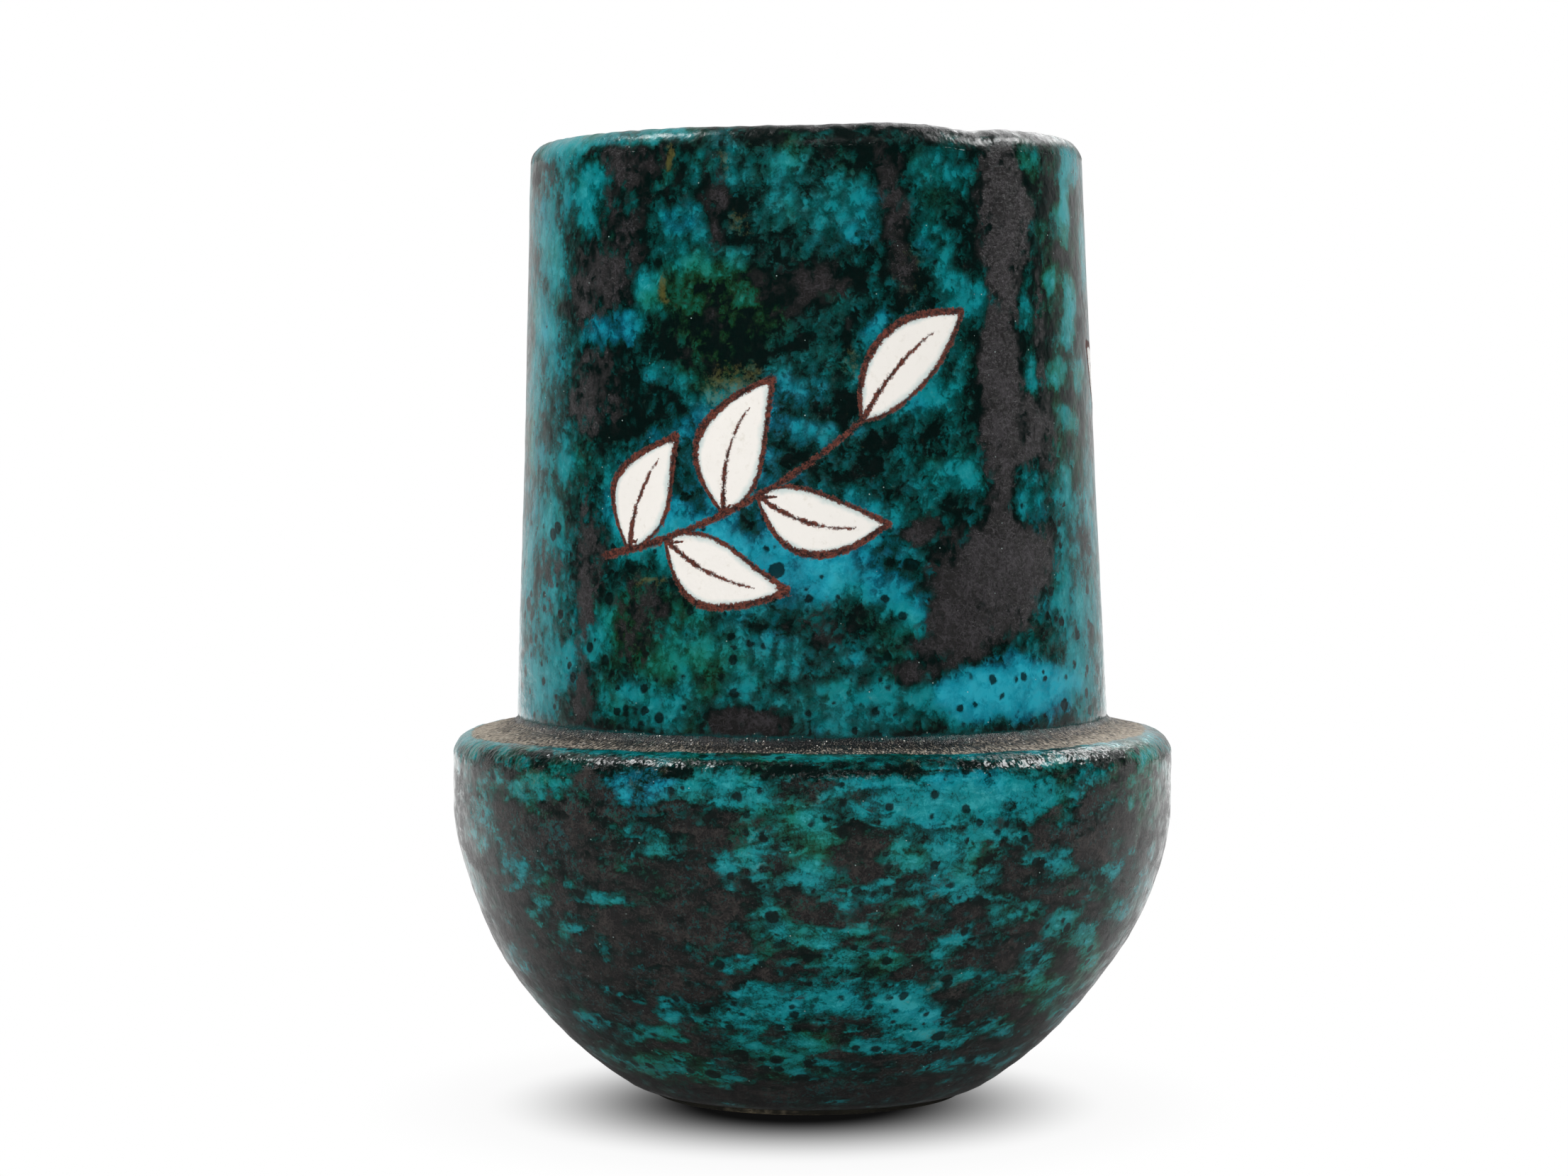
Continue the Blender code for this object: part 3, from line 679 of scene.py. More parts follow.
def clay_layers(nodes, place, colours):
    """Colour, roughness and relief of bare clay, with specks of iron and, on the foot ring, painted shade
    near the table.
    """
    tone = nodes.span(nodes.plus(nodes.grain(place, 6.0), (nodes.grain(place, 0.6), 0.5)), -1.0, 1.0)
    colour = nodes.mix(tone, 0.62 * colours.clay, colours.clay)
    iron = nodes.span(nodes.grain(place, 0.9, 2.0), 0.62, 0.8)
    colour = nodes.mix(nodes.times(iron, 0.7), colour, colours.iron)
    # Painted shade near the table, in the nearly black glaze's colour, on meshes that carry the run field
    run = nodes.span(nodes.plus(nodes.field("run"), (nodes.grain(place, 2.0), 0.2)), 0.2, 0.7)
    colour = nodes.mix(nodes.times(run, 0.9), colour, colours.night)
    return colour, 0.82, nodes.times(nodes.grain(place, 0.5, 4.0, 0.7), 0.05)


def dark_glaze_layers(nodes, place, colours):
    """Colour, roughness and relief of the dark glaze inside."""
    tone = nodes.span(nodes.plus(nodes.grain(place, 5.0), (nodes.grain(place, 1.0), 0.4)), -0.8, 1.0)
    colour = nodes.mix(tone, colours.night, colours.deep)
    return colour, 0.28, nodes.plus((nodes.grain(place, 3.0), 0.06), (nodes.grain(place, 0.7), 0.015))


def glaze_grains(nodes, place, squeeze):
    """Noises that the layers of a brushed glaze share."""
    drawn = nodes.vector("MULTIPLY", place, squeeze)
    middle = nodes.grain(drawn, 2.4, 3.0, 0.55, 0.6)
    fine = nodes.grain(place, 0.9, 4.0, 0.65)
    winding = nodes.grain(place, 1.5, 2.0, 0.5, 0.8)
    swayed = nodes.moved(drawn, (middle, 1.4), (fine, 0.5))
    return SimpleNamespace(
        patches=nodes.grain(place, 5.0, 3.0, 0.6),
        middle=middle,
        fine=fine,
        dust=nodes.grain(place, 0.3, 2.0, 0.6),
        lobes=nodes.span(nodes.dots(swayed, 2.4)[0], 0.10, 0.80, 1.0, -1.0),
        vein=nodes.span(nodes.maths("ABSOLUTE", winding), 0.35, 0.0),
    )


def pooled_colours(nodes, place, colours, grains, glaze):
    """The glaze from nearly black over deep green to turquoise and milky, and the teal where it is thin."""
    level = nodes.plus((grains.lobes, 0.16), (grains.middle, 0.15), (grains.fine, 0.14), (grains.dust, 0.06))
    level = nodes.plus(nodes.field("turquoise"), (level, glaze.lively), (grains.vein, glaze.veined))
    hue = nodes.plus(nodes.field("hue"), (nodes.grain(place, 7.0), 0.5))
    bluish, greenish = nodes.span(hue, 0.0, 1.0), nodes.span(hue, 0.0, -1.0)
    bright = nodes.mix(greenish, nodes.mix(bluish, colours.turquoise, colours.blue), colours.green)
    teal = nodes.mix(greenish, nodes.mix(bluish, colours.teal, colours.blue_teal), colours.green_teal)
    deep = nodes.mix(greenish, colours.deep, colours.green_deep)
    milk = nodes.mix(bluish, colours.milk, colours.blue_milk)
    colour = nodes.mix(nodes.span(level, -0.05, 0.22), colours.night, deep)
    colour = nodes.mix(nodes.span(level, 0.15, 0.50), colour, teal)
    colour = nodes.mix(nodes.span(level, 0.40, 0.85), colour, bright)
    colour = nodes.mix(nodes.times(nodes.span(level, 0.80, 1.40), 0.8), colour, milk)
    broken = nodes.plus(nodes.field("olive"), (grains.fine, 0.5), (grains.middle, 0.3), (grains.dust, 0.25))
    colour = nodes.mix(nodes.times(nodes.span(broken, 0.30, 1.40), 0.75), colour, colours.olive)
    return colour, teal


def spotted(nodes, place, colours, grains, colour):
    """The colour with round dark spots of two sizes, soft at their edges."""
    crowd = nodes.plus(nodes.field("spots"), (grains.patches, 0.35))
    loose = nodes.moved(place, (grains.fine, 0.22), (grains.middle, 0.30))
    for spacing, widest in SPOT_SIZES:
        distance, chance = nodes.dots(loose, spacing)
        radius = nodes.span(nodes.plus(chance, (crowd, 0.5)), 0.75, 1.45, 0.0, widest, soft=False)
        edge = SPOT_EDGE / spacing
        spot = nodes.span(nodes.maths("SUBTRACT", distance, radius), edge, -edge)
        spot = nodes.times(spot, nodes.span(radius, 0.02, 0.12))
        colour = nodes.mix(nodes.times(spot, 0.90), colour, colours.night)
    return colour


def dry_black(nodes, place, colours, grains, glaze, pale, teal):
    """Where the dry black lies, its colour under a paler mottled film, and its crinkles."""
    crinkle = nodes.grain(place, 1.0, 5.0, 0.7, 1.6)
    depth = nodes.field("black")
    film = nodes.plus((grains.vein, 0.7), (crinkle, 0.6), (grains.patches, 0.7), (grains.dust, 0.3))
    film = nodes.plus(film, (depth, glaze.film_depth))
    colour = nodes.mix(nodes.span(film, glaze.film_start, 1.6), colours.black, pale)
    if glaze.flecked:
        fleck = nodes.plus(grains.fine, (grains.middle, 0.5), (grains.dust, 0.4))
        fleck = nodes.span(nodes.plus(fleck, (nodes.grain(place, 12.0), 0.7)), 0.35, 0.95)
        colour = nodes.mix(nodes.times(fleck, glaze.flecked), colour, teal)
    spread = nodes.plus(depth, (grains.lobes, -0.20), (grains.middle, 0.24))
    spread = nodes.plus(spread, (grains.fine, glaze.ragged), (grains.dust, 0.5 * glaze.ragged))
    return nodes.span(spread, -0.36, 0.28), colour, crinkle


def glaze_layers(nodes, place, colours, grains, glaze, pale):
    """Colour, roughness and relief of the turquoise and black glaze; pale is the film on its black."""
    colour, teal = pooled_colours(nodes, place, colours, grains, glaze)
    colour = spotted(nodes, place, colours, grains, colour)
    black, dry, crinkle = dry_black(nodes, place, colours, grains, glaze, pale, teal)
    colour = nodes.mix(black, colour, dry)

    # Pinholes: small dents in the relief, with painted glints that lighten their colour
    distance, chance = nodes.dots(place, 1.4)
    chance = nodes.plus(chance, (black, 0.02))
    pinhole_glint = nodes.times(nodes.span(chance, 0.945, 0.95), nodes.span(distance, 0.12, 0.05))
    colour = nodes.mix(nodes.times(pinhole_glint, 0.6), colour, colours.pinhole_glint)

    # The lip is duller than the rest, and the shoulder is pebbled more than the lip
    rounded = nodes.field("rounded")
    pebbled = nodes.times(nodes.span(rounded, 0.0, 0.25), nodes.span(rounded, 1.0, 0.2, 0.4))
    shine = nodes.plus(nodes.span(nodes.grain(place, 1.8), -1.0, 1.0, 0.12, 0.26), (rounded, 0.12))
    satin = nodes.plus(nodes.span(rounded, 0.0, 1.0, 0.26, 0.42, soft=False), (pebbled, -0.07))
    relief = nodes.plus(
        (nodes.times(crinkle, black), 0.06),
        (nodes.grain(place, 3.5, 2.0), 0.04),
        (nodes.grain(place, 1.6, 2.0), 0.012),
        (grains.fine, 0.008),
        (nodes.times(nodes.grain(place, 1.25, 1.0), pebbled), 0.075),
        (pinhole_glint, -0.03),
    )
    return colour, nodes.blend(black, shine, satin), relief


def leaf_layers(nodes, place, colours, grains, under):
    """Colour, roughness and relief of the leaves: white enamel with brown lines, over the glaze."""
    colour, roughness, relief = under
    leaf = nodes.field("leaf")
    edge = nodes.plus(leaf, (grains.fine, 0.16), (grains.middle, 0.10))
    enamel = nodes.span(edge, -0.15, 0.20)
    speckle = nodes.plus(nodes.grain(place, 1.2, 4.0, 0.7), (nodes.grain(place, 5.0), 0.4))
    white = nodes.mix(nodes.times(nodes.span(speckle, 0.2, 1.4), 0.5), colours.white, colours.speckle)
    tint = nodes.span(nodes.plus(edge, (grains.patches, 0.5)), 1.6, 0.3)
    white = nodes.mix(nodes.times(tint, 0.35), white, colours.milk)
    colour = nodes.mix(enamel, colour, white)
    rim = nodes.maths("ABSOLUTE", nodes.plus(leaf, 0.2))
    rim = nodes.maths("SUBTRACT", nodes.field("rim"), rim)
    rib = nodes.maths("SUBTRACT", nodes.field("rib_width"), nodes.maths("ABSOLUTE", nodes.field("rib")))
    line = nodes.maths("MAXIMUM", rim, rib)
    line = nodes.plus(line, (grains.fine, 0.32), (grains.middle, 0.22), (grains.dust, 0.24))
    stroke = nodes.span(line, -0.24, 0.20)
    worn = nodes.span(nodes.plus(grains.fine, (grains.dust, 0.9)), -0.7, 0.9)
    colour = nodes.mix(stroke, colour, nodes.mix(worn, colours.dark_brown, colours.brown))
    roughness = nodes.blend(stroke, nodes.blend(enamel, roughness, 0.22), 0.60)
    return colour, roughness, nodes.plus(relief, (stroke, -0.06), (enamel, 0.04))


def gritty(nodes, place, colours, grains, under):
    """Colour, roughness and relief of a glaze with gritty slip over it."""
    grit = nodes.plus(nodes.field("grit"), (grains.fine, 0.20), (grains.middle, 0.12))
    return nodes.cover(nodes.span(grit, 0.2, 0.8), under, grit_layers(nodes, place, colours))


def neck_layers(nodes, place, colours):
    """Colour, roughness and relief of the neck: glaze, leaves and slip at its foot."""
    grains = glaze_grains(nodes, place, NECK_GLAZE.squeeze)
    layers = glaze_layers(nodes, place, colours, grains, NECK_GLAZE, colours.ash)
    layers = leaf_layers(nodes, place, colours, grains, layers)
    return gritty(nodes, place, colours, grains, layers)


def bowl_layers(nodes, place, colours):
    """Colour, roughness and relief of the bowl: glaze, slip on its ledge and a bare base."""
    grains = glaze_grains(nodes, place, BOWL_GLAZE.squeeze)
    layers = glaze_layers(nodes, place, colours, grains, BOWL_GLAZE, colours.rust)
    layers = gritty(nodes, place, colours, grains, layers)
    bare = nodes.plus(nodes.field("clay"), (grains.fine, 0.15), (grains.middle, 0.15))
    return nodes.cover(nodes.span(bare, 0.35, 0.6), layers, clay_layers(nodes, place, colours))


def thrown_shift(wall, sizes):
    """Shift in mm that leaves the bowl uneven as thrown: low parts to the left, the shoulder tilted."""
    low, high = smooth(45.0, 22.0, wall.height), smooth(52.0, 74.0, wall.height)
    tilt = sizes.tilt / MM * high * np.sin(wall.angle)
    return np.stack([-sizes.lean / MM * low, 0.0 * low, tilt], axis=-1)


class LeafDrawing:
    """Leaves as fields in mm: depth in a leaf, distance from a rib or stem, half widths of their lines."""

    def __init__(self, wall):
        self.leaf, self.rim = np.full_like(wall.angle, -FAR), np.zeros_like(wall.angle)
        self.rib, self.rib_width = np.full_like(wall.angle, FAR), np.zeros_like(wall.angle)
        for turn, middle, size, side in SPRIGS:
            across = side * wall.radius * turned_from(wall.angle, turn)
            up = wall.height - middle
            stem = size * np.array(bezier(STEM, STEM_STEPS))
            self.draw_stem(across, up, stem)
            for share, bend, length, half_width, arch in LEAVES:
                index = min(int(share * STEM_STEPS), STEM_STEPS - 1)
                base = stem[index + 1] if share >= 1.0 else stem[index]
                run = stem[index + 1] - stem[index]
                heading = math.atan2(run[1], run[0]) + math.radians(bend)
                cosine, sine = math.cos(heading), math.sin(heading)
                along = (across - base[0]) * cosine + (up - base[1]) * sine
                beside = (up - base[1]) * cosine - (across - base[0]) * sine
                upper = 1 if bend >= 0 else -1
                self.draw_leaf(along, beside, size * length, size * half_width, arch, 3.0 * share, upper)
        self.rib_width[self.rib_width - np.abs(self.rib) < -1.2] = -FAR

    def draw_line(self, distance, width):
        """A line of a rib or stem, where it lies over those drawn before."""
        nearer = width - np.abs(distance) > self.rib_width - np.abs(self.rib)
        self.rib[nearer], self.rib_width[nearer] = distance[nearer], width[nearer]

    def draw_stem(self, across, up, stem):
        """A stem that tapers from its root to its tip."""
        for step in range(len(stem) - 1):
            (right, high), run = stem[step], stem[step + 1] - stem[step]
            share = np.clip(((across - right) * run[0] + (up - high) * run[1]) / (run @ run), 0.0, 1.0)
            gap = np.hypot(across - right - share * run[0], up - high - share * run[1])
            left_of = (up - high) * run[0] > (across - right) * run[1]
            width = np.full_like(gap, STEM_WIDTH - STEM_TAPER * step / len(stem))
            self.draw_line(np.where(left_of, gap, -gap), width)

    def draw_leaf(self, along, beside, length, half_width, arch, wave, upper):
        """A pointed leaf whose rim is heavier on its upper side and whose rib ends before its tip."""
        reach = np.clip(along / length, 0.0, 1.0)
        beside = beside - arch * length * 4 * reach * (1 - reach)
        width = half_width * np.sin(math.pi * reach**0.85) * (1 + 0.10 * np.sin(5.0 * reach + wave))
        over = np.maximum(np.maximum(-along, along - length), 0.0)
        inside = np.where(over > 0, -np.hypot(over, beside), width - np.abs(beside))
        heavy = np.where(beside * upper > 0, 0.80, 0.50) * (0.75 + 0.4 * reach)
        deeper = inside > self.leaf
        self.leaf[deeper], self.rim[deeper] = inside[deeper], heavy[deeper]
        end = np.maximum(over, np.maximum(along - 0.74 * length, 0.0))
        self.draw_line(np.where(beside > 0, 1.0, -1.0) * np.hypot(beside, end), 0.60 * (1.05 - reach))


def joint_stain(wall):
    """Where dark glaze ran onto the gritty joint; below 0 the slip is paler."""
    return humps(wall.angle, JOINT_STAINS)


def neck_fields(wall, joint, lip):
    """Glaze of the neck, as fields for its material; joint is the height where it meets the ledge."""
    place, height = wall.points(), wall.height
    wander = (1.6 * clouds(place, 6.0, 3, 1), 1.6 * clouds(place, 6.0, 3, 2))
    bright = brushed(NECK_TURQUOISE, wall, height, wander)
    dark = brushed(NECK_BLACK, wall, height, wander)
    low = smooth(150.0, 105.0, height)
    lump, blotch = clouds(place, 9.0, 3, 3), clouds(place, 4.0, 3, 4)
    drawing = LeafDrawing(wall)
    outside = wall.on("outside")
    leaf = np.where(outside > 0, drawing.leaf, -FAR)
    halo = smooth(-7.0, -0.5, leaf)

    # More turquoise beside the front, less of it in one place high on the right
    turned = np.degrees(np.abs(wall.angle))
    beside = smooth(48.0, 66.0, turned) * (1.0 - 0.6 * smooth(95.0, 125.0, turned))
    beside = beside * (1.0 - 0.7 * humps(wall.angle, ((66, 20, 1.0),)) * smooth(125.0, 140.0, height))
    turquoise = 0.14 + 0.22 * low + 0.36 * beside + 0.42 * bright - 0.30 * dark
    turquoise = turquoise + 0.34 * lump + 0.28 * blotch + 0.25 * halo
    turquoise = turquoise - 0.30 * outside * smooth(joint + 3.6, joint + 0.6, height + 1.2 * lump)
    black = -0.56 + 0.62 * dark - 0.15 * bright + 0.26 * clouds(place, 5.0, 4, 12, 0.6) - 0.5 * halo
    inward = wall.on("inside", "under") * smooth(lip - 5.0, lip - 14.0, height)
    turquoise = turquoise * (1 - inward) + inward * (0.08 + 0.2 * clouds(place, 14.0, 3, 6))
    hue = brushed(NECK_BLUE, wall, height, wander) + 0.5 * clouds(place, 24.0, 2, 5) + 0.15 * halo - 0.08
    slip_edge = height + 0.5 * clouds(place, 5.0, 3, 7)
    return {
        "turquoise": turquoise,
        "black": black * (1 - inward) - 0.6 * inward,
        "hue": hue,
        "olive": brushed(NECK_OLIVE, wall, height, wander) * (1 - inward),
        "spots": 0.1 + 0.9 * low,
        "rounded": wall.on("lip"),
        "leaf": leaf,
        "rim": drawing.rim,
        "rib": np.where(outside > 0, drawing.rib, FAR),
        "rib_width": drawing.rib_width,
        "grit": outside * smooth(joint + 2.2, joint + 0.7, slip_edge),
        "stain": joint_stain(wall) + 0.9,
        "tint": smooth(joint, joint + 1.2, height),
    }


def bowl_fields(wall, down):
    """Glaze of the bowl, as fields for its material; down is the way along it from the ledge's root."""
    place, long_place = wall.points(), wall.points(0.5, down)
    wander = (2.4 * clouds(long_place, 4.0, 3, 21), 1.2 * clouds(long_place, 4.0, 3, 22))
    bright = brushed(BOWL_TURQUOISE, wall, down, wander)
    back = smooth(math.radians(68), math.radians(95), np.abs(wall.angle))
    bright = bright + 1.2 * back * smooth(0.0, 0.5, clouds(wall.points(0.45, down), 11.0, 4, 20, 0.7))
    lump, blotch = clouds(long_place, 5.5, 3, 23), clouds(wall.points(0.7, down), 3.2, 3, 24, 0.6)

    # A bright edge on the shoulder, a dark line under it, and no dry black on the rounding
    edge = smooth(5.0, 8.0, down) * smooth(12.0, 10.0, down) * (0.62 + 0.6 * clouds(long_place, 6.0, 2, 25))
    shade = smooth(12.0, 13.0, down) * smooth(15.5, 14.0, down)
    shade = shade * smooth(-0.2, 0.3, clouds(long_place, 9.0, 2, 26))
    rounding = smooth(6.0, 8.0, down) * smooth(16.0, 12.0, down)
    turquoise = 0.30 + 0.42 * bright + 0.32 * lump + 0.30 * blotch + 0.5 * edge - 0.4 * shade
    ragged = clouds(wall.points(0.6, down), 5.0, 3, 36, 0.7)
    black = -0.08 - 0.50 * bright + 0.42 * ragged - 0.25 * blotch - 0.5 * edge + 0.2 * shade - 0.9 * rounding
    turquoise = turquoise - 0.25 * smooth(-0.45, 0.05, black)
    inside = wall.on("inside")
    reach = LEDGE_SLIP + humps(wall.angle, LEDGE_SLIP_WAVES)
    slip_edge = down - reach + 0.7 * clouds(place, 5.0, 3, 30)
    return {
        "turquoise": turquoise * (1 - inside) + inside * (0.08 + 0.2 * clouds(place, 14.0, 3, 29)),
        "black": black * (1 - inside) - 0.6 * inside,
        "hue": 0.7 * brushed(BOWL_BLUE, wall, down, wander) + 0.4 * clouds(long_place, 14.0, 2, 27) - 0.25,
        "olive": 0.4 * smooth(0.35, 0.65, clouds(place, 9.0, 2, 28)) * (1 - inside),
        "spots": 0.9 + 0.5 * smooth(44.0, 58.0, down) * smooth(96.0, 80.0, down),
        "rounded": 0.2 * wall.on("shoulder"),
        "grit": wall.on("ledge", "shoulder") * smooth(0.7, -0.7, slip_edge),
        "stain": joint_stain(wall) + 0.50 - 0.60 * smooth(1.5, 7.0, down),
        "tint": 0.25 * smooth(3.5, 0.5, down) + 0.2 * clouds(place, 4.0, 2, 38),
    }


def neck_outline(sizes):
    """Named stretches of the neck's outline in mm, up its outside and down its inside."""
    foot, lip = sizes.foot_height / MM, sizes.lip_height / MM
    foot_radius, taper, thick = sizes.foot_radius / MM, sizes.taper / MM, sizes.wall / MM
    outer, inner = sizes.lip_round / MM, sizes.lip_inner_round / MM

    def radius(height):
        return foot_radius - taper * (height - foot) / (lip - foot)

    base, inner_base = lip - outer, lip - inner
    rounding = arc((radius(base) - outer, base), outer, 0, 90)
    rounding += arc((radius(inner_base) - thick + inner, inner_base), inner, 90, 180)
    inner_foot = (foot_radius - thick, foot)
    return [
        ("outside", [(foot_radius, foot), (radius(base), base)], 1.0),
        ("lip", rounding, 0.7),
        ("inside", [rounding[-1], inner_foot], 2.6),
        ("under", [inner_foot, (foot_radius, foot)], 3.5),
    ]


class VASE_OT_neck(bpy.types.Operator):
    """Builds the conical neck with its uneven lip, brushed glaze and leaves"""

    bl_idname = "vase.neck"
    bl_label = "Neck"

    def execute(self, context):
        sizes = context.scene.vase_neck
        foot, lip = sizes.foot_height / MM, sizes.lip_height / MM
        wall = Wall(neck_outline(sizes), sizes.columns, closed=True)
        fields = neck_fields(wall, context.scene.vase_bowl.root_height / MM, lip)
        place = wall.points()
        rings = np.sin(wall.height * 0.95 + wall.angle + 0.6 * clouds(place, 20.0, 2, 11))
        relief = (
            0.10 * clouds(place, 30.0, 2, 8)
            + 0.35 * wall.on("outside") * smooth(foot + 55.0, foot + 15.0, wall.height)
            + 0.05 * clouds(place, 5.0, 3, 9)
            + smooth(-0.3, 0.3, fields["black"]) * (0.04 + 0.04 * clouds(place, 1.8, 2, 10))
            + wall.on("lip") * 0.14 * clouds(place, 2.8, 2, 13)
            + 0.05 * smooth(-0.2, 0.3, fields["leaf"])
            + wall.on("inside") * 0.16 * rings
        )
        wall.push(relief * smooth(foot, foot + 5.0, wall.height))
        share = (wall.height - foot) / (lip - foot)
        rise = sizes.tilt / MM * np.sin(wall.angle) + humps(wall.angle, LIP_WAVES)
        rise = rise * smooth(lip - 45.0, lip, wall.height)
        shift = np.stack([-sizes.lean / MM * share, 0.0 * share, rise], axis=-1)
        material = finish_material("neck_brushed_glaze", neck_layers, context.scene.vase_colours)
        piece(wall, "neck_glazed", "neck", material, shift, fields)
        return {"FINISHED"}


def bowl_outline(sizes, gallery):
    """Named stretches of the bowl's outline in mm: under its base, up the outside and down the inside."""
    belly, root = sizes.belly_radius / MM, sizes.root_height / MM
    foot, lift = sizes.foot_radius / MM, sizes.foot_lift / MM
    slope, ledge = sizes.foot_slope, sizes.ledge_slope
    bend, thick = sizes.shoulder_round / MM, sizes.wall / MM
    floor, opening, recess = sizes.floor / MM, sizes.opening / MM, sizes.recess / MM

    # Shoulder, and the belly's curve from the foot to the upright band
    edge_radius = belly - bend + bend * math.sin(ledge)
    edge_height = root - (edge_radius - gallery) * math.tan(ledge)
    middle = (belly - bend, edge_height - bend * math.cos(ledge))
    shoulder = arc(middle, bend, 0, 90 - math.degrees(ledge))
    top = middle[1] - sizes.upright_band / MM
    foot_pull = sizes.foot_handle / MM
    foot_corner = (foot + foot_pull * math.cos(slope), lift + foot_pull * math.sin(slope))
    outer = bezier([(foot, lift), foot_corner, (belly, top - sizes.belly_handle / MM), (belly, top)])

    # Inner wall, a thickness from the belly, that bends into the floor
    run = np.gradient(np.array(outer), axis=0)
    run /= np.hypot(*run.T)[:, None]
    hollow = [(r - thick * d[1], h + thick * d[0]) for (r, h), d in zip(outer, run)]
    hollow = [point for point in hollow if point[1] > floor + sizes.floor_bend / MM]
    fall = np.subtract(hollow[1], hollow[0])
    drop = hollow[0][1] - floor
    aside = drop * fall[0] / fall[1]
    corner = (hollow[0][0] - aside, floor)
    floor_edge = (corner[0] - math.hypot(drop, aside), floor)

    # Lower edge, and the recess inside it
    skirt = sizes.skirt / MM
    rim, rim_rise, rim_ease = foot - 1.2, 0.2, 0.3
    base = [(AXIS_GAP, recess), (rim, recess), (rim, lift + rim_rise), (rim + rim_ease, lift)]
    base += arc((foot - skirt, lift + skirt), skirt, -90, -40)
    outer = [point for point in outer if point[1] > lift + BELLY_START]

    gallery_floor = root - sizes.gallery_depth / MM
    underside = gallery_floor - sizes.ledge_wall / MM
    inside = [(gallery, root), (gallery, gallery_floor), (opening, gallery_floor), (opening, underside)]
    turn = sizes.inner_round / MM
    inside += arc((belly - thick - turn, underside - turn), turn, 90, 0)
    inside += hollow[::-1] + bezier([hollow[0], corner, floor_edge]) + [(AXIS_GAP, floor)]
    return [
        ("base", base, 1.4),
        ("belly", [base[-1]] + outer + [shoulder[0]], 1.0),
        ("shoulder", shoulder, 0.6),
        ("ledge", [shoulder[-1], (gallery, root)], 0.7),
        ("inside", inside, 3.2),
    ]


class VASE_OT_bowl(bpy.types.Operator):
    """Builds the bowl with its shoulder, gritty ledge, brushed glaze, inside and bare base"""

    bl_idname = "vase.bowl"
    bl_label = "Bowl"

    def execute(self, context):
        sizes = context.scene.vase_bowl
        foot = sizes.foot_radius / MM
        gallery = (context.scene.vase_neck.foot_radius + FIRED_GAP) / MM
        wall = Wall(bowl_outline(sizes, gallery), sizes.columns, closed=False)
        root_row = np.flatnonzero(wall.names == "ledge")[-1]
        down = wall.way[root_row] - wall.way
        fields = bowl_fields(wall, down)
        fields["clay"] = wall.on("base") * smooth(foot - 0.9, foot - 1.3, wall.radius)
        place = wall.points()
        ripple = np.sin(down * 1.15 + 1.5 * clouds(place, 30.0, 2, 31))
        relief = (
            0.12 * clouds(place, 34.0, 2, 32)
            + 0.45 * wall.on("belly") * smooth(48.0, 30.0, wall.height)
            + 0.05 * clouds(place, 5.0, 3, 33)
            + wall.on("belly") * 0.03 * ripple
            + smooth(-0.3, 0.3, fields["black"]) * (0.04 + 0.04 * clouds(place, 1.8, 2, 34))
            + wall.on("shoulder") * (0.13 * clouds(place, 2.8, 2, 37) + 0.05 * clouds(place, 1.7, 1, 39))
            + fields["grit"] * 0.08 * clouds(place, 1.2, 2, 35)
            + wall.on("inside") * 0.14 * np.sin(wall.way * 0.9 + wall.angle)
        )
        wall.push(relief * np.maximum(smooth(foot, foot + 4.0, wall.radius), wall.on("inside")))
        material = finish_material("bowl_brushed_glaze", bowl_layers, context.scene.vase_colours)
        piece(wall, "bowl_glazed", "bowl", material, thrown_shift(wall, sizes), fields)
        return {"FINISHED"}


class VASE_OT_luting_fillet(bpy.types.Operator):
    """Builds the gritty fillet of slip in the corner between ledge and neck"""

    bl_idname = "vase.luting_fillet"
    bl_label = "Luting fillet"

    def execute(self, context):
        sizes = context.scene.vase_joint
        bowl = context.scene.vase_bowl
        root = bowl.root_height / MM
        neck = context.scene.vase_neck.foot_radius / MM
        width = sizes.fillet_width / MM
        overlap, undercut, sink = 0.55, 0.3, 0.12
        top = (neck - overlap, root + sizes.fillet_height / MM)
        hollow = (neck + 0.5, root + 0.25)
        edge = (neck + width, root - width * math.tan(bowl.ledge_slope) - sink)
        back = [top, (neck - overlap - undercut, root), (neck + 0.4, root - 0.9), edge]
        face = bezier([edge, hollow, top])
        wall = Wall([("face", face, 0.35), ("back", back, 1.4)], sizes.columns, closed=True)
        place = wall.points()
        wall.push(wall.on("face") * (0.16 * clouds(place, 4.0, 3, 41) + 0.07 * clouds(place, 0.9, 2, 42)))
        fields = {
            "stain": joint_stain(wall) + 0.55 + 0.5 * smooth(root, root + 0.8, wall.height),
            "tint": 0.1 + 0.35 * smooth(root, root + 1.0, wall.height) + 0.3 * clouds(place, 4.0, 2, 43),
        }
        shift = thrown_shift(wall, bowl)
        material = finish_material("gritty_slip", grit_layers, context.scene.vase_colours)
        piece(wall, "luting_fillet_gritty", "luting_fillet", material, shift, fields)
        return {"FINISHED"}


class VASE_OT_inner_coil(bpy.types.Operator):
    """Builds the smoothed coil of clay in the inner corner under the neck"""

    bl_idname = "vase.inner_coil"
    bl_label = "Inner coil"

    def execute(self, context):
        sizes = context.scene.vase_joint
        overlap, sink, toe = 0.35, 0.25, 0.2
        outer = COIL_HIGH.x / MM + overlap
        bottom = COIL_LOW.z / MM - sink
        top = bottom + sizes.coil_height / MM
        inner = context.scene.vase_bowl.opening / MM + toe
        face = bezier([(outer, top), (inner + toe, top), (inner, bottom)])
        back = [face[-1], (outer, bottom), face[0]]
        wall = Wall([("face", face, 0.5), ("back", back, 1.5)], sizes.columns, closed=True)
        finger_marks = 0.05 * np.sin(wall.angle * 46)
        wall.push(wall.on("face") * (0.18 * clouds(wall.points(), 7.0, 2, 51) + finger_marks))
        material = finish_material("coil_dark_glaze", dark_glaze_layers, context.scene.vase_colours)
        piece(wall, "inner_coil_smoothed", "inner_coil", material)
        return {"FINISHED"}


